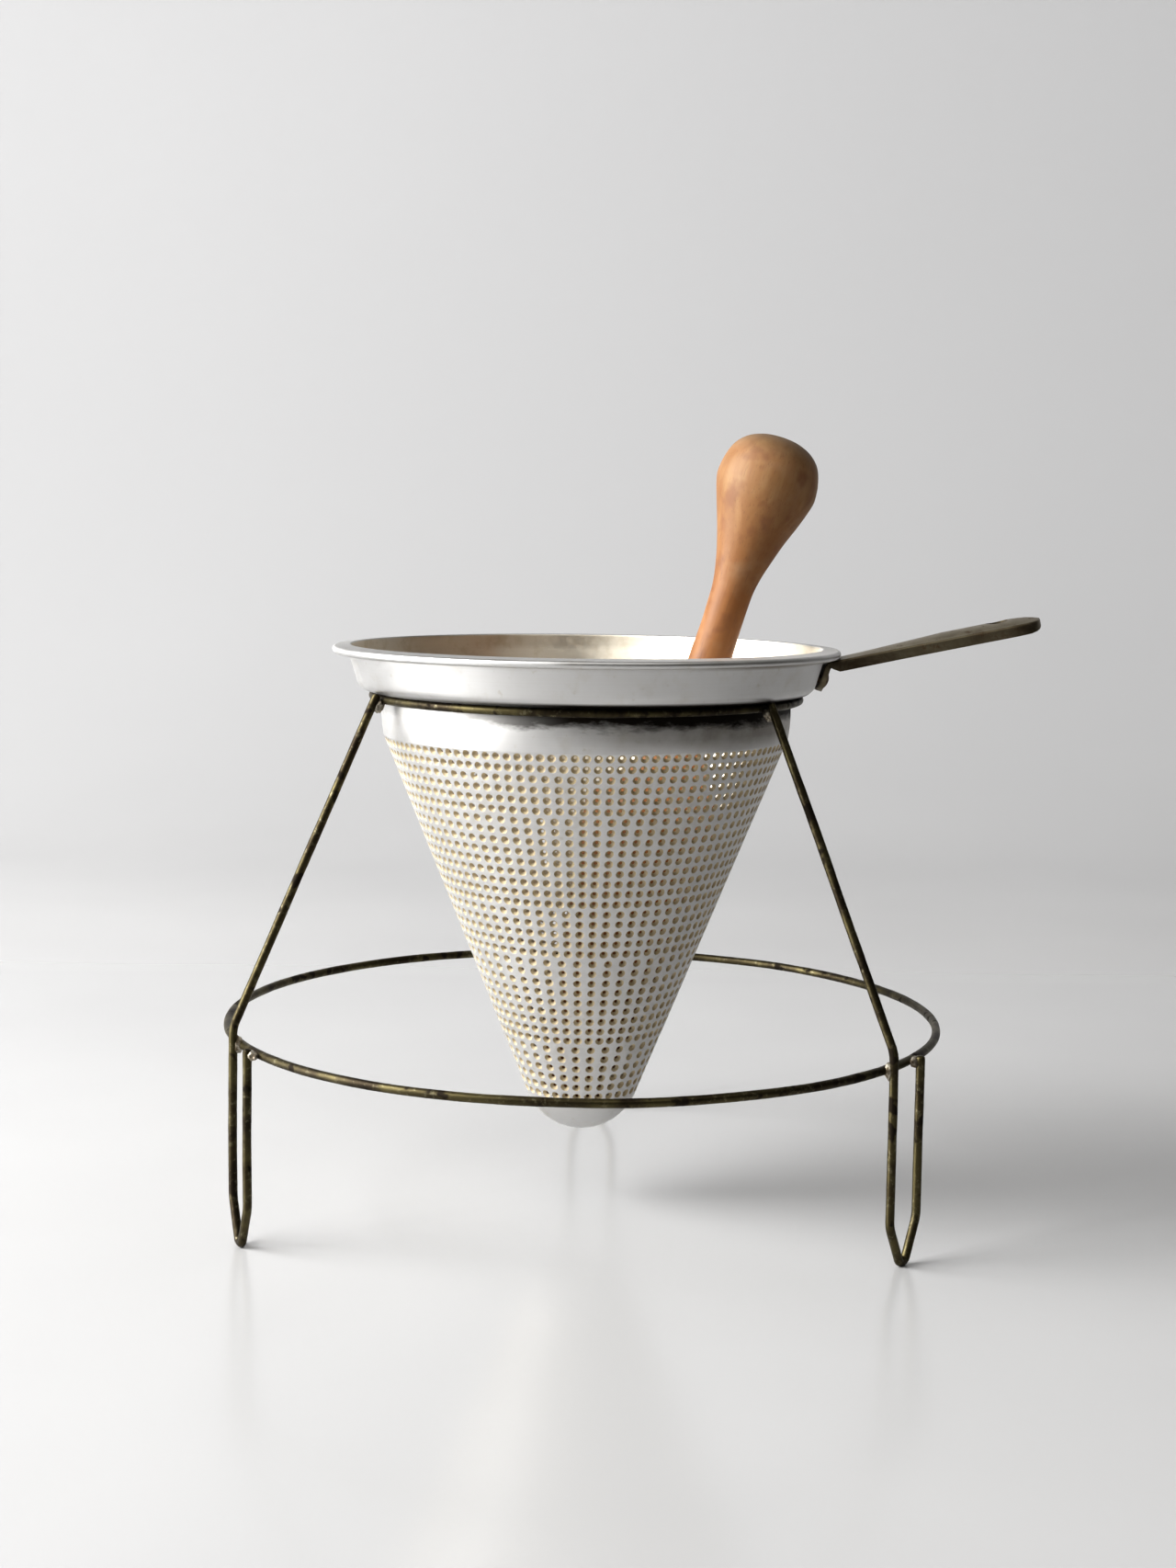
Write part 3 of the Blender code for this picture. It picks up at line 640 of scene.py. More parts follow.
class Shell:
    """Vertices and faces of one mesh, gathered ring by ring round the cone's axis."""

    def __init__(self):
        self.verts = []
        self.faces = []
        self.finish = []

    def point(self, place):
        self.verts.append(place)
        return len(self.verts) - 1

    def ring(self, radius, height, count, phase=0.0):
        """Indices of count points, the first at a phase angle."""
        step = 2 * math.pi / count
        return [self.point(polar(radius, phase + k * step, height)) for k in range(count)]

    def face(self, finish, *corners):
        self.faces.append(corners)
        self.finish.append(finish)

    def zip(self, a, b, finish, lead=0.0):
        """Faces between two rings of any counts; lead is how far b starts past a, in radians."""
        n, m = len(a), len(b)
        i = j = 0
        shift = lead / (2 * math.pi)
        while i < n or j < m:
            if j >= m or (i < n and (i + 1) / n <= (j + 1) / m + shift):
                self.face(finish, a[i % n], a[(i + 1) % n], b[j % m])
                i += 1
            else:
                self.face(finish, a[i % n], b[(j + 1) % m], b[j % m])
                j += 1

    def strip(self, a, b, finish):
        """Quads between two rings of the same count."""
        count = len(a)
        for k in range(count):
            n = (k + 1) % count
            self.face(finish, a[k], a[n], b[n], b[k])

    def fan(self, ring, pole, finish):
        for k in range(len(ring)):
            self.face(finish, ring[k], ring[(k + 1) % len(ring)], pole)

    def lathe(self, outline, count, first_pole, last_pole):
        """A closed turned solid from its outline and the heights of its two poles."""
        rings = [self.ring(p.x, p.y, count) for p in outline]
        for a, b in zip(rings, rings[1:]):
            self.strip(a, b, 0)
        self.fan(rings[0], self.point(Vector((0, 0, first_pole))), 0)
        self.fan(rings[-1], self.point(Vector((0, 0, last_pole))), 0)

    def mesh(self, name):
        mesh = bpy.data.meshes.new(name)
        mesh.from_pydata(self.verts, [], self.faces)
        mesh.polygons.foreach_set("material_index", self.finish)
        bm = bmesh.new()
        bm.from_mesh(mesh)
        bmesh.ops.recalc_face_normals(bm, faces=bm.faces)
        bm.to_mesh(mesh)
        bm.free()
        return mesh


OUTSIDE, INSIDE, EDGE = range(3)


def cone_tangent():
    """Where the cone meets its round tip, and the angle there on the tip's sphere."""
    centre = Vector((0, TIP_HEIGHT + TIP_SPHERE_RADIUS))
    to_foot = COLLAR_FOOT - centre
    touch = math.atan2(to_foot.y, to_foot.x) - math.acos(TIP_SPHERE_RADIUS / to_foot.length)
    return centre + TIP_SPHERE_RADIUS * Vector((math.cos(touch), math.sin(touch))), touch


CONE_END, TIP_ANGLE = cone_tangent()
CONE_RUN = (COLLAR_FOOT - CONE_END).normalized()
CONE_OUT = Vector((CONE_RUN.y, -CONE_RUN.x))


def on_cone(height, depth):
    """(radius, height) on the cone's line at a height, moved into the sheet by a depth."""
    along = (height - CONE_END.y) / CONE_RUN.y
    return CONE_END + CONE_RUN * along - CONE_OUT * depth


def rim_outline():
    """Over the crest, down the flange and round the rolled bead, to the wall's top."""
    bead = Vector((RIM_RADIUS - BEAD_RADIUS, BEAD_HEIGHT))
    arc = [bead + BEAD_RADIUS * Vector((math.cos(a), math.sin(a)))
           for a in (math.radians(d) for d in range(100, -165, -12))]
    crest = [Vector((CREST_RADIUS, CREST_HEIGHT)) + Vector(p) * MM
             for p in ((-0.12, -0.32), (0.05, -0.1), (0.35, 0.0), (0.8, -0.03))]
    under = Vector((WALL_TOP_RADIUS + 0.5 * MM, BEAD_HEIGHT - 0.1 * MM))
    return crest + arc + [under]


def collar_line(top, foot):
    """The collar's gentle bulge between its top and its foot."""
    steps = 8
    return [lerp(top, foot, k / steps) + Vector((COLLAR_BULGE * math.sin(math.pi * k / steps), 0))
            for k in range(1, steps)]


def wall_outline():
    """Outer side of the sheet from under the flange to the start of the holes."""
    top = Vector((WALL_TOP_RADIUS, CREST_HEIGHT - WALL_TOP_DROP))
    wall_foot = Vector((top.x - WALL_SLOPE * (top.y - SHOULDER_HEIGHT), SHOULDER_HEIGHT))
    collar_top = Vector((COLLAR_TOP_RADIUS, SHOULDER_HEIGHT))
    bend = fillet([(top, 0), (wall_foot, WALL_BEND_RADIUS), (collar_top, COLLAR_BEND_RADIUS),
                   (lerp(collar_top, COLLAR_FOOT, 0.3), 0)], steps=8)
    collar = collar_line(bend[-2], COLLAR_FOOT)
    crease = [COLLAR_FOOT - CREASE_ABOVE, COLLAR_FOOT - CONE_RUN * CREASE_BELOW]
    return evenly(bend[:-1] + collar + crease, BOWL_SPACING)


def spin_sheet(shell, chain, finishes):
    """Rings along a chain of (radius, height) points; returns the first and last rings."""
    rings = [shell.ring(p.x, p.y, BOWL_SEGMENTS) for p in chain]
    for a, b, finish in zip(rings, rings[1:], finishes):
        shell.strip(a, b, finish)
    return rings[0], rings[-1]


def hole_row(shell, tops, bottoms, height, count, phase, rng):
    """One row of punched cells between two boundary rings, given for both sides of the sheet."""
    step = 2 * math.pi / count
    sides = []
    for depth in (0.0, SHEET):
        point = on_cone(height, depth)
        sides.append(shell.ring(point.x, point.y, count, phase - step / 2))
    for j in range(count):
        radius = HOLE_RADIUS * rng.uniform(*HOLE_SPREAD)
        drift = Vector((rng.uniform(-1, 1), rng.uniform(-1, 1))) * HOLE_DRIFT
        loops = [hole_loop(shell, height, phase + j * step, reach, drift, depth)
                 for reach, depth in ((radius, HOLE_DIMPLE), (radius * HOLE_TAPER, SHEET))]
        for top, bottom, middle, loop, finish in zip(tops, bottoms, sides, loops, (OUTSIDE, INSIDE)):
            border = cell_border(top, bottom, middle, j)
            for k in range(HOLE_SIDES):
                n = (k + 1) % HOLE_SIDES
                shell.face(finish, border[k], border[n], loop[n], loop[k])
        for k in range(HOLE_SIDES):
            n = (k + 1) % HOLE_SIDES
            shell.face(EDGE, loops[0][k], loops[0][n], loops[1][n], loops[1][k])


def hole_loop(shell, height, angle, radius, drift, depth):
    """Points round one hole at a depth in the sheet, counted from its right."""
    loop = []
    for k in range(HOLE_SIDES):
        turn = 2 * math.pi * k / HOLE_SIDES
        across = drift.x + radius * math.cos(turn)
        along = drift.y + radius * math.sin(turn)
        point = on_cone(height + along * CONE_RUN.y, depth)
        loop.append(shell.point(polar(point.x, angle + across / point.x, point.y)))
    return loop


def cell_border(top, bottom, middle, j):
    """The ten boundary points of cell j, in step with the points of its hole."""
    count = len(middle)
    right = 3 * (j + 1) % (3 * count)
    return ([middle[(j + 1) % count], top[right], top[3 * j + 2], top[3 * j + 1], top[3 * j],
             middle[j], bottom[3 * j], bottom[3 * j + 1], bottom[3 * j + 2], bottom[right]])


def border_rings(shell, height, count, phase):
    """Outer and inner boundary rings with three points to a cell."""
    start = phase - math.pi / count
    rings = []
    for depth in (0.0, SHEET):
        point = on_cone(height, depth)
        rings.append(shell.ring(point.x, point.y, 3 * count, start))
    return rings


def join_rings(shell, above, below, lead):
    for a, b, finish in zip(above, below, (OUTSIDE, INSIDE)):
        shell.zip(a, b, finish, lead)


def sieve(shell, above, rng):
    """All rows of holes below the bowl's two last rings; returns the two lowest rings."""
    height = COLLAR_FOOT.y - FIRST_ROW_DROP
    start = 0.0
    top_edge = height + FIRST_ROW_EDGE
    for rows, count, lead in HOLE_GROUPS:
        phase = math.radians(lead - 90) % (2 * math.pi / count)
        tops = border_rings(shell, top_edge, count, phase)
        join_rings(shell, above, tops, phase - math.pi / count - start)
        start = phase - math.pi / count
        for row in range(rows):
            last = row == rows - 1
            edge = height - ROW_PITCH / 2 + (GROUP_SEAM if last else 0.0)
            bottoms = border_rings(shell, edge, count, phase)
            hole_row(shell, tops, bottoms, height, count, phase, rng)
            tops = bottoms
            height -= ROW_PITCH
        above = tops
        top_edge = height + ROW_PITCH / 2 - GROUP_SEAM
    return above


def round_tip(shell, above):
    """The blank round end under the last row of holes."""
    centre = Vector((0, TIP_HEIGHT + TIP_SPHERE_RADIUS))
    count = len(above[0])
    spin = shell.verts[above[0][0]]
    phase = math.atan2(spin.y, spin.x)
    for ring, depth, finish in zip(above, (0.0, SHEET), (OUTSIDE, INSIDE)):
        reach = TIP_SPHERE_RADIUS - depth
        for k in range(TIP_RINGS):
            angle = lerp(TIP_ANGLE, -math.pi / 2, k / TIP_RINGS)
            point = centre + reach * Vector((math.cos(angle), math.sin(angle)))
            lower = shell.ring(point.x, point.y, count, phase)
            shell.strip(ring, lower, finish)
            ring = lower
        pole = shell.point(Vector((0, 0, centre.y - reach)))
        shell.fan(ring, pole, finish)


def settle(shell):
    """Small out-of-round and dents of a used bowl; the cone and the rim's width are kept."""
    for i, vert in enumerate(shell.verts):
        amount = smooth_step(COLLAR_FOOT.y, SHOULDER_HEIGHT, vert.z)
        wave = noise.noise(Vector((vert.x, vert.y, vert.z * 2.0)) / DENT_SIZE)
        out = Vector((vert.x, vert.y, 0)).normalized()
        shell.verts[i] = vert + out * (DENT_DEPTH * amount * (wave - 0.2))


def make_strainer():
    shell = Shell()
    outer = wall_outline()
    inner = offset_line(outer, SHEET)
    inner[0] = Vector((CREST_RADIUS - 0.25 * MM, CREST_HEIGHT - 1.0 * MM))
    rim = rim_outline()
    chain = inner[::-1] + rim + outer
    finishes = [INSIDE] * len(inner) + [OUTSIDE] * (len(rim) + len(outer))
    inside_ring, outside_ring = spin_sheet(shell, chain, finishes)
    rng = random.Random(SEED)
    lowest = sieve(shell, [outside_ring, inside_ring], rng)
    round_tip(shell, lowest)
    settle(shell)
    finishes = [
        spun_aluminium("aluminium_outside", grey(0.61, 0.01), grey(0.42, 0.20), 0.25, 0.41, True),
        spun_aluminium("aluminium_inside", grey(0.68, 0.14), grey(0.42, 0.34), 0.50, 0.44, False),
        punched_edge()]
    make_piece("strainer_sheet", shell.mesh("strainer_sheet"), "strainer",
               ["strainer_body"], finishes)


# ---- wires

def swept(name, stations, sides, side, closed=False):
    """Round tube through (point, radius) stations, turned as little as possible on the way."""
    bm = bmesh.new()
    count = len(stations)
    points = [p for p, _ in stations]
    sections = []
    across = side
    for i, (point, radius) in enumerate(stations):
        behind = points[(i - 1) % count] if closed else points[max(i - 1, 0)]
        ahead = points[(i + 1) % count] if closed else points[min(i + 1, count - 1)]
        tangent = (ahead - behind).normalized()
        across = (across - tangent * across.dot(tangent)).normalized()
        up = tangent.cross(across)
        ring = []
        for k in range(sides):
            angle = 2 * math.pi * k / sides
            offset = (math.cos(angle) * across + math.sin(angle) * up) * radius
            ring.append(bm.verts.new(point + offset))
        sections.append(ring)
    pairs = list(zip(sections, sections[1:]))
    if closed:
        pairs.append((sections[-1], sections[0]))
    for a, b in pairs:
        bridge(bm, a, b)
    if not closed:
        bm.faces.new(sections[0])
        bm.faces.new(sections[-1])
    return mesh_of(name, bm)


def hand_bent(points, seed):
    """Stations with the small wander and thickness changes of hand-bent wire."""
    stations = []
    shift = Vector((seed, 2 * seed, 3 * seed))
    for point in points:
        free = smooth_step(*WANDER_START, point.z)
        wander = noise.noise_vector(point / WANDER_SIZE + shift) * WIRE_WANDER * free
        thick = WIRE_RADIUS * (1 + WIRE_SWELL * noise.noise(point / SWELL_SIZE - shift) * free)
        stations.append((point + wander, thick))
    return stations


def rounded_ends(stations):
    """Domes at both ends of a wire."""
    def dome(end, inner):
        outward = (end[0] - inner[0]).normalized()
        turns = [math.radians(d) for d in (72, 48, 24)]
        return [(end[0] + outward * end[1] * DOME_SHARE * math.sin(a), end[1] * math.cos(a))
                for a in turns]
    head = dome(stations[0], stations[1])
    tail = dome(stations[-1], stations[-2])
    return head + stations + tail[::-1]


def make_ring(name, radius, height, seed, finish):
    step = 2 * math.pi / RING_SEGMENTS
    points = [polar(radius, k * step, height) for k in range(RING_SEGMENTS)]
    mesh = swept(name, hand_bent(points, seed), WIRE_SIDES, UP, closed=True)
    make_piece(name + "_wire", mesh, "stand", [name], [finish])


def leg_azimuths():
    """Bearing of each leg's outgoing wire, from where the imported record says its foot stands."""
    half = math.atan2(FOOT_WIDTH / 2, LOWER_RING_RADIUS + LEG_OFFSET)
    bearings = {}
    for mount in frame["record"]["mounts"]:
        foot = Vector(mount["pos_m"]) - AXIS
        bearings[mount["name"].replace("foot", "leg")] = math.atan2(foot.y, foot.x) - half
    return bearings


def leg_points(bearing):
    """Down the slope, round the knee, down to the foot, round it and back up to the ring."""
    out = polar(1.0, bearing)
    along = polar(1.0, bearing + math.pi / 2)
    top = out * (TOP_RING_RADIUS + LEG_OFFSET) + UP * LEG_TOP_HEIGHT
    knee = out * (LOWER_RING_RADIUS + LEG_OFFSET) + UP * LEG_BEND_HEIGHT
    ankle = Vector((knee.x, knee.y, FOOT_TAPER_HEIGHT))
    middle = Vector((knee.x, knee.y, WIRE_RADIUS)) + along * FOOT_WIDTH / 2
    toe = middle - along * FOOT_FLAT_LENGTH / 2
    heel = middle + along * FOOT_FLAT_LENGTH / 2
    far_ankle = ankle + along * FOOT_WIDTH
    end = Vector((far_ankle.x, far_ankle.y, LOWER_RING_HEIGHT + WIRE_RADIUS))
    corners = [(top, 0), (knee, KNEE_RADIUS), (ankle, ANKLE_RADIUS), (toe, TOE_RADIUS),
               (heel, TOE_RADIUS), (far_ankle, ANKLE_RADIUS), (end, 0)]
    return evenly(fillet(corners, steps=10), LEG_SPACING)


def solder_bead(name, place, size, direction, seed, finish):
    """A lump that wraps two wires where they touch, long along a direction."""
    bm = bmesh.new()
    bmesh.ops.create_icosphere(bm, subdivisions=4, radius=1.0)
    turn = UP.rotation_difference(direction).to_matrix()
    shift = Vector((seed, seed, seed))
    for vert in bm.verts:
        lump = 1 + 0.22 * noise.noise(vert.co * 1.7 + shift) + 0.08 * noise.noise(vert.co * 5 - shift)
        local = Vector((vert.co.x * size.x, vert.co.y * size.y, vert.co.z * size.z)) * lump
        vert.co = place + turn @ local
    make_piece(name, mesh_of(name, bm), "stand", (), [finish])


def leg_joints(bearing):
    """Label, place, direction and half sizes of the solder at a leg's three joints."""
    out = polar(1.0, bearing)
    along = polar(1.0, bearing + math.pi / 2)
    drop = TOP_RING_HEIGHT - LOWER_RING_HEIGHT
    slope = (out * (LOWER_RING_RADIUS - TOP_RING_RADIUS) - UP * drop).normalized()
    top = out * (TOP_RING_RADIUS + LEG_OFFSET / 2 + TOP_BEAD_OUT)
    knee = out * (LOWER_RING_RADIUS + LEG_OFFSET / 2)
    return (("top", top + UP * (TOP_RING_HEIGHT - TOP_BEAD_DROP), slope, TOP_BEAD),
            ("knee", knee + UP * LOWER_RING_HEIGHT, UP, KNEE_BEAD),
            ("end", knee + along * FOOT_WIDTH + UP * LOWER_RING_HEIGHT, along, END_BEAD))


def make_stand():
    finish = aged_wire("aged_wire")
    joint_finish = solder()
    make_ring("top_ring", TOP_RING_RADIUS, TOP_RING_HEIGHT, 3.1, finish)
    make_ring("lower_ring", LOWER_RING_RADIUS, LOWER_RING_HEIGHT, 5.7, finish)
    for i, (name, bearing) in enumerate(sorted(leg_azimuths().items())):
        stations = rounded_ends(hand_bent(leg_points(bearing), 8.3 + i))
        mesh = swept(name, stations, WIRE_SIDES, polar(1.0, bearing + math.pi / 2))
        make_piece(name + "_wire", mesh, "stand", [name], [finish])
        for k, (label, place, direction, size) in enumerate(leg_joints(bearing)):
            solder_bead(name + "_" + label + "_solder", place, size, direction,
                        1.3 * i + 4.1 * k, joint_finish)


# ---- handle and rivets

def wall_radius(height):
    """Radius at a height of the bowl's straight wall, on which the handle and rivets are laid."""
    return WALL_TOP_RADIUS - WALL_SLOPE * (WALL_DATUM - height)


def wall_directions():
    """Unit vectors up along the wall and out of it, in the plane of the handle."""
    up = Vector((WALL_SLOPE, 0, 1)).normalized()
    return up, Vector((up.z, 0, -up.x))


def rivet_frame(side):
    """Placing of one rivet round the cone's axis: Z out of the wall, origin on its face."""
    reach = RIVET_SPACING / 2 * side
    azimuth = math.asin(reach / wall_radius(RIVET_HEIGHT))
    up, out = wall_directions()
    across = up.cross(out)
    place = polar(wall_radius(RIVET_HEIGHT), azimuth, RIVET_HEIGHT)
    place.y = reach
    return Matrix.Translation(place) @ Matrix((up, across, out)).transposed().to_4x4()


def strap_direction():
    rise = math.radians(HANDLE_RISE)
    return Vector((math.cos(rise), 0, math.sin(rise)))


def handle_line():
    """Line of the strap's back: up the wall, round the bend and out along the handle."""
    up, out = wall_directions()
    strap = strap_direction()
    bottom = Vector((wall_radius(FOOT_PLATE_BOTTOM), 0, FOOT_PLATE_BOTTOM)) + out * FOOT_PLATE_GAP
    under_bead = Vector((RIM_RADIUS - BEAD_RADIUS, 0, BEAD_HEIGHT - BEAD_RADIUS - BEAD_CLEARANCE))
    gap = under_bead - bottom
    reach = (gap.x * strap.z - gap.z * strap.x) / (up.x * strap.z - up.z * strap.x)
    corner = bottom + up * reach
    end = under_bead + strap * ((HANDLE_REACH - under_bead.x) / strap.x)
    line = fillet([(bottom, 0), (corner, HANDLE_BEND_RADIUS), (end, 0)], steps=12)
    line = evenly(line, HANDLE_SPACING)
    closing = [lerp(line[-5], line[-1], 1 - 0.5 ** k) for k in range(1, 9)]
    return line[:-4] + closing + [line[-1]]


def distances(line):
    total = [0.0]
    for a, b in zip(line, line[1:]):
        total.append(total[-1] + (b - a).length)
    return total


def strap_profile(half, depth, crown, inset):
    """Half a section of the channel, mirrored: side, rounded edge and crowned back."""
    edge = max(LEAST_EDGE, HANDLE_EDGE - 0.6 * inset)
    side = [(-half, -depth), (-half, lerp(-depth, -inset - edge, 0.5))]
    for k in range(5):
        turn = math.radians(90 * k / 4)
        side.append((-half + edge * (1 - math.cos(turn)), -inset - edge * (1 - math.sin(turn))))
    back = []
    steps = 7
    for k in range(1, steps):
        u = 1 - k / steps
        back.append((-u * (half - edge), -inset + crown * (1 - u * u)))
    left = side + back
    return left + [(0.0, -inset + crown)] + [(-x, z) for x, z in reversed(left)]


def strap_half_width(t):
    """Half the strap's width at a share t of its length past the foot plate."""
    return max(lerp(FOOT_PLATE_HALF_WIDTH, HANDLE_HALF_WIDTH_ROOT,
                    min(1.0, FOOT_PLATE_FLARE * t ** 0.5)),
               lerp(HANDLE_HALF_WIDTH_ROOT - HANDLE_WAIST, HANDLE_HALF_WIDTH_END, t))


def strap_section(s, length, inset):
    """Section of the channel at a distance s along a strap of some length."""
    t = max(0.0, (s - FOOT_PLATE_LENGTH) / (length - FOOT_PLATE_LENGTH))
    tip = HANDLE_HALF_WIDTH_END - inset
    past = max(0.0, s - (length - inset - tip)) / tip
    start = max(0.0, 1 - s / FOOT_PLATE_ROUNDING)
    rounding = (math.sqrt(max(END_BLUNTNESS, 1 - past ** 2))
                * math.sqrt(1 - FOOT_PLATE_NARROWING * start ** 2))
    depth = lerp(FLANGE_ROOT_DEPTH, HANDLE_DEPTH, smooth_step(*FLANGE_GROWTH, s))
    depth *= 1 - FLANGE_FADE * past ** 6
    if inset:
        depth += CHANNEL_OVERCUT
    crown = HANDLE_CROWN * min(1.0, t * CROWN_GROWTH) * (1 - CROWN_FADE * past ** 2)
    return strap_profile((strap_half_width(t) - inset) * rounding, depth, crown, inset)


def handle_loft(name, inset):
    """Solid along the strap; inset 0 is its outside, and the sheet's thickness its hollow."""
    bm = bmesh.new()
    line = handle_line()
    run = distances(line)
    sections = []
    for i, point in enumerate(line):
        if inset and run[i] > run[-1] - inset:
            break
        tangent = (line[min(i + 1, len(line) - 1)] - line[max(i - 1, 0)]).normalized()
        back = Vector((-tangent.z, 0, tangent.x))
        profile = strap_section(run[i], run[-1], inset)
        sections.append([bm.verts.new(point + Vector((0, x, 0)) + back * z) for x, z in profile])
    for a, b in zip(sections, sections[1:]):
        bridge(bm, a, b)
    bm.faces.new(sections[0])
    bm.faces.new(sections[-1])
    return mesh_of(name, bm)


def drill(name, radius, placing, depth):
    """A cylinder to cut with, centred on its placing."""
    bm = bmesh.new()
    bmesh.ops.create_cone(bm, cap_ends=True, segments=DRILL_SEGMENTS, radius1=radius,
                          radius2=radius, depth=depth, matrix=placing)
    return mesh_of(name, bm)


def without(mesh, cutter):
    """Boolean difference of two meshes."""
    solid = bpy.data.objects.new("solid", mesh)
    tool = bpy.data.objects.new("tool", cutter)
    for obj in (solid, tool):
        show(obj)
    mod = solid.modifiers.new("cut", "BOOLEAN")
    mod.object = tool
    bpy.context.view_layer.update()
    evaluated = solid.evaluated_get(bpy.context.evaluated_depsgraph_get())
    result = bpy.data.meshes.new_from_object(evaluated)
    for obj in (solid, tool):
        bpy.data.objects.remove(obj)
    return result


def make_handle():
    mesh = without(handle_loft("handle", 0.0), handle_loft("channel", HANDLE_SHEET))
    strap = strap_direction()
    back = Vector((-strap.z, 0, strap.x))
    centre = handle_line()[-1] - strap * HANG_HOLE_INSET
    turn = UP.rotation_difference(back).to_matrix().to_4x4()
    mesh = without(mesh, drill("hang", HANG_HOLE_RADIUS, Matrix.Translation(centre) @ turn, 30 * MM))
    for side in (-1, 1):
        mesh = without(mesh, drill("rivet_hole", RIVET_SHANK_RADIUS + RIVET_PLAY,
                                   rivet_frame(side), 12 * MM))
    handle = make_piece("handle_strap", mesh, "strainer", ["handle"], [handle_steel()])
    soften = handle.modifiers.new("soft_edges", "BEVEL")
    soften.width = BEVEL_WIDTH
    soften.segments = 2
    soften.limit_method = "ANGLE"
    soften.angle_limit = math.radians(40)


def make_rivet(name, side, finish):
    """Domed head outside the foot plate, shank through plate and wall, low head inside."""
    sag = RIVET_SPACING ** 2 / 8 / wall_radius(RIVET_HEIGHT)
    seat = sag + FOOT_PLATE_GAP + HANDLE_SHEET + RIVET_SEAT_GAP
    inside = -SHEET - RIVET_INNER_GAP
    dome = [Vector((RIVET_HEAD_RADIUS * math.sin(a), seat + RIVET_HEAD_HEIGHT * math.cos(a)))
            for a in (math.radians(d) for d in range(10, 91, 10))]
    inner = [Vector((RIVET_HEAD_RADIUS * math.cos(a),
                     inside - RIVET_INNER_HEAD_HEIGHT * math.sin(a)))
             for a in (math.radians(d) for d in range(0, 90, 15))]
    shank = [Vector((RIVET_SHANK_RADIUS, seat)), Vector((RIVET_SHANK_RADIUS, inside))]
    shell = Shell()
    shell.lathe(dome + shank + inner, DRILL_SEGMENTS, seat + RIVET_HEAD_HEIGHT,
                inside - RIVET_INNER_HEAD_HEIGHT)
    make_piece(name + "_head", shell.mesh(name), "strainer", [name], [finish],
               rivet_frame(side))


# ---- pestle

def pestle_outline():
    """Round tip, tapered body, shoulder, slim neck and flattened knob, from the tip up."""
    tip = PESTLE_TIP_RADIUS
    centre = Vector((0, tip))
    away = PESTLE_SHOULDER - centre
    touch = math.atan2(away.y, away.x) - math.acos(tip / away.length)
    arc = [centre + tip * Vector((math.cos(a), math.sin(a)))
           for a in (lerp(-math.pi / 2, touch, k / 10) for k in range(1, 11))]
    body = fillet([(arc[-1], 0), (PESTLE_SHOULDER, 5.0 * MM), (SHOULDER_TOP, 6.0 * MM),
                   (NECK_FOOT, 12.0 * MM), (NECK, 0)], steps=6)
    swell = [Vector(p) * MM for p in ((7.4, 190.0), (8.1, 203.0), (11.9, 218.0), (17.5, 234.0))]
    top = [Vector(p) * MM for p in ((16.2, 248.9), (12.6, 253.2), (7.8, 255.6), (3.6, 256.4),
                                    (1.2, 256.5))]
    knob = [NECK] + swell + [KNOB_BELLY] + top
    return evenly(arc + body[1:], PESTLE_SPACING) + smooth_line(knob, 6)[1:]


def make_pestle():
    shell = Shell()
    shell.lathe(pestle_outline(), PESTLE_SEGMENTS, 0.0, PESTLE_LENGTH)
    for i, vert in enumerate(shell.verts):
        wear = sum(noise.noise(vert / size) * depth for size, depth in zip(WEAR_SIZES, WEAR_DEPTHS))
        out = Vector((vert.x, vert.y, 0))
        if out.length > WEAR_START:
            shell.verts[i] = vert + out.normalized() * (wear - WEAR_LOSS)
    placing = Matrix.Translation(PESTLE_FOOT) @ PESTLE_TURN.to_matrix().to_4x4()
    make_piece("pestle_turned", shell.mesh("pestle_turned"), "pestle", ["pestle"],
               [worn_wood()], placing)


# ---- stage, light and camera

def make_stage():
    """A pale table top that sweeps up into a plain wall behind."""
    front, foot = Vector((0, TABLE_FRONT, 0)), Vector((0, WALL_PLACE, 0))
    profile = fillet([(front, 0), (foot, SWEEP_RADIUS), (foot + Vector((0, 0, WALL_HEIGHT)), 0)],
                     steps=24)
    bm = bmesh.new()
    rows = [[bm.verts.new(p + Vector((x, 0, 0))) for p in profile]
            for x in (-TABLE_HALF_WIDTH, TABLE_HALF_WIDTH)]
    for k in range(len(profile) - 1):
        bm.faces.new((rows[0][k], rows[1][k], rows[1][k + 1], rows[0][k + 1]))
    mesh = mesh_of("sweep", bm)
    mesh.shade_smooth()
    mesh.materials.append(pale_table())
    sweep = bpy.data.objects.new("sweep", mesh)
    show(sweep)


def area_light(name, place, width, height, power, colour):
    """A rectangular light that faces the object."""
    lamp = bpy.data.lights.new(name, "AREA")
    lamp.shape = "RECTANGLE"
    lamp.size = width
    lamp.size_y = height
    lamp.energy = power
    lamp.color = colour
    obj = bpy.data.objects.new(name, lamp)
    obj.location = place
    obj.rotation_mode = "QUATERNION"
    obj.rotation_quaternion = (LIGHT_TARGET - place).to_track_quat("-Z", "Y")
    show(obj)


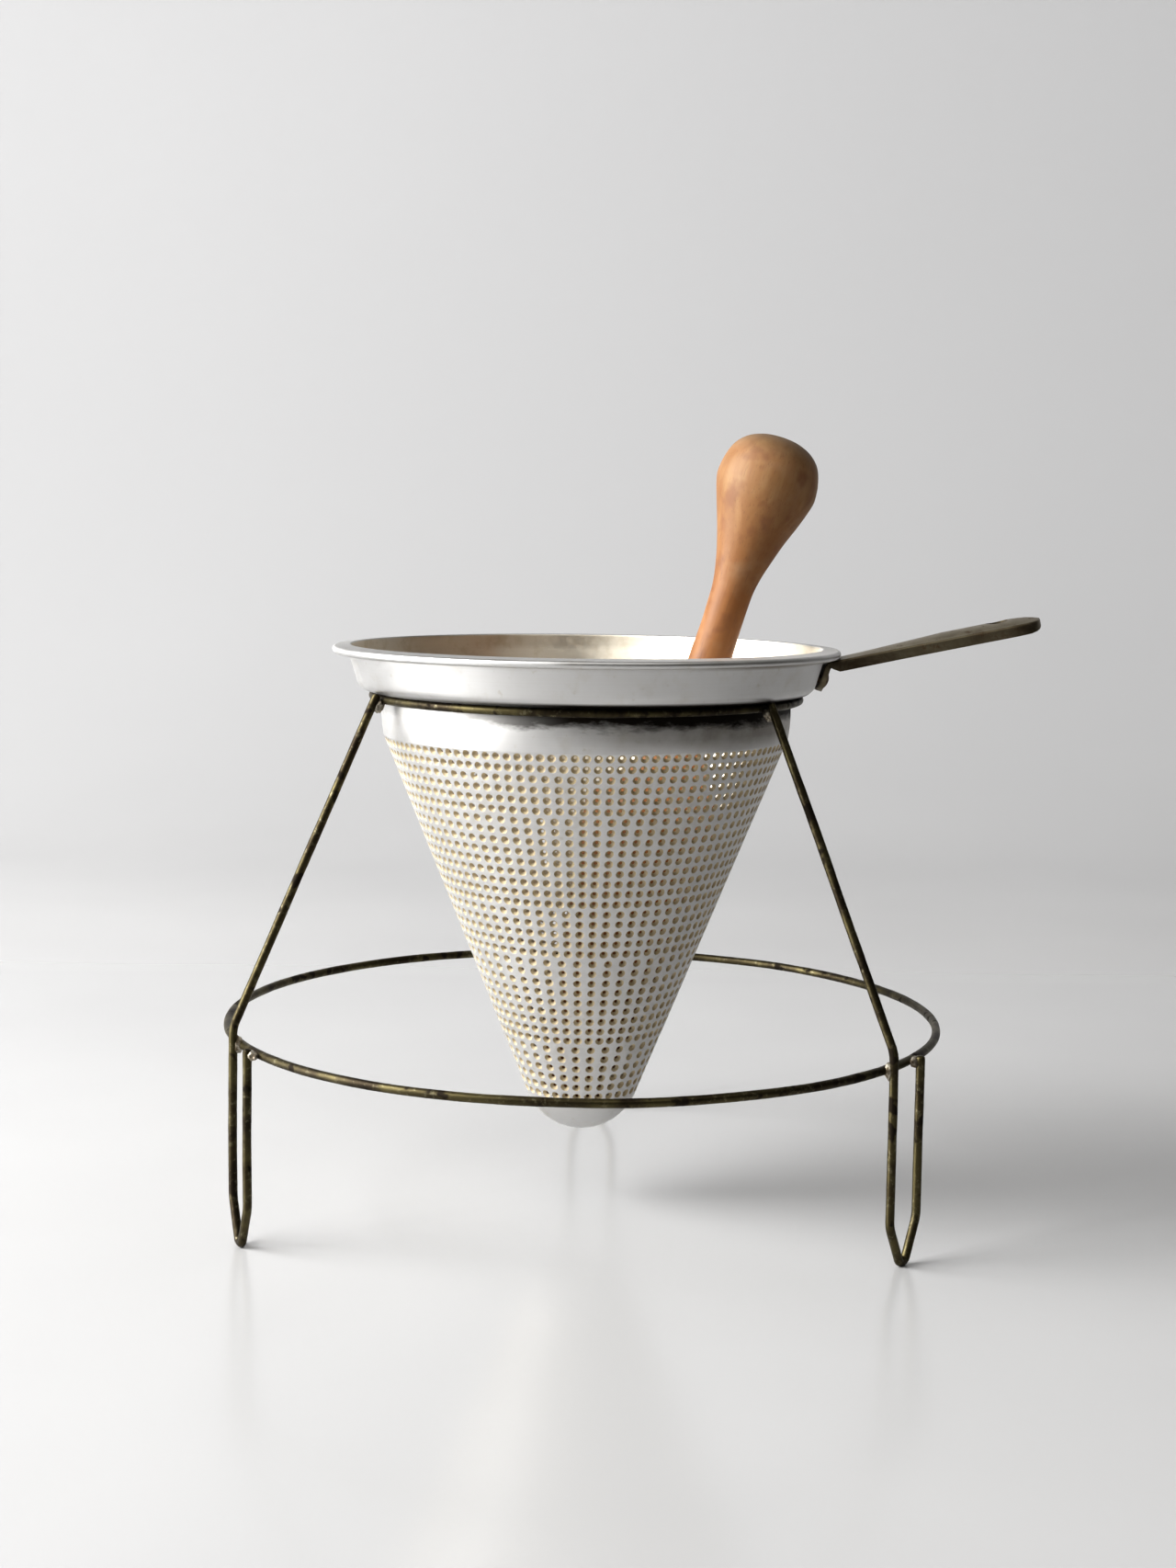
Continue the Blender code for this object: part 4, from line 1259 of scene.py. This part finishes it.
def make_lights():
    """Two panes of one window, whose narrow bar shows in the metal, and a faint pale ceiling."""
    panes = (("window", 82.0, 1.15, 1.0), ("side_pane", 54.0, 0.16, 0.14))
    for name, bearing, width, share in panes:
        turn = math.radians(bearing)
        place = AXIS + Vector((-WINDOW_DISTANCE * math.sin(turn), -WINDOW_DISTANCE * math.cos(turn),
                               WINDOW_MIDDLE))
        area_light(name, place, width, WINDOW_TALL, WINDOW_POWER * share, WINDOW_COLOUR)
    area_light("ceiling", CEILING_PLACE, *CEILING_SIZE, CEILING_POWER, CEILING_COLOUR)
    world = bpy.data.worlds.new("room")
    bpy.context.scene.world = world
    world.use_nodes = True
    background = world.node_tree.nodes["Background"]
    background.inputs["Color"].default_value = ROOM_COLOUR
    background.inputs["Strength"].default_value = ROOM_LIGHT


def make_camera():
    """Level with the knob, looking slightly down, turned a little about its own axis."""
    forward = Vector((math.sin(CAMERA_YAW) * math.cos(CAMERA_PITCH),
                      math.cos(CAMERA_YAW) * math.cos(CAMERA_PITCH), -math.sin(CAMERA_PITCH)))
    right = Vector((math.cos(CAMERA_YAW), -math.sin(CAMERA_YAW), 0))
    up = right.cross(forward)
    x = math.cos(CAMERA_ROLL) * right + math.sin(CAMERA_ROLL) * up
    y = -math.sin(CAMERA_ROLL) * right + math.cos(CAMERA_ROLL) * up
    lens = bpy.data.cameras.new("camera")
    lens.lens = CAMERA_LENS
    lens.clip_start = 0.05
    camera = bpy.data.objects.new("camera", lens)
    camera.matrix_world = (Matrix.Translation(CAMERA_PLACE)
                           @ Matrix((x, y, -forward)).transposed().to_4x4())
    show(camera)
    bpy.context.scene.camera = camera


def main():
    noise.seed_set(SEED)
    make_camera()
    make_strainer()
    make_handle()
    rivets = rivet_steel()
    make_rivet("rivet_near", -1, rivets)
    make_rivet("rivet_far", 1, rivets)
    make_stand()
    make_pestle()
    make_stage()
    make_lights()
    bpy.context.scene.view_settings.view_transform = "Standard"
    bpy.context.scene.view_settings.look = "Medium High Contrast"


main()
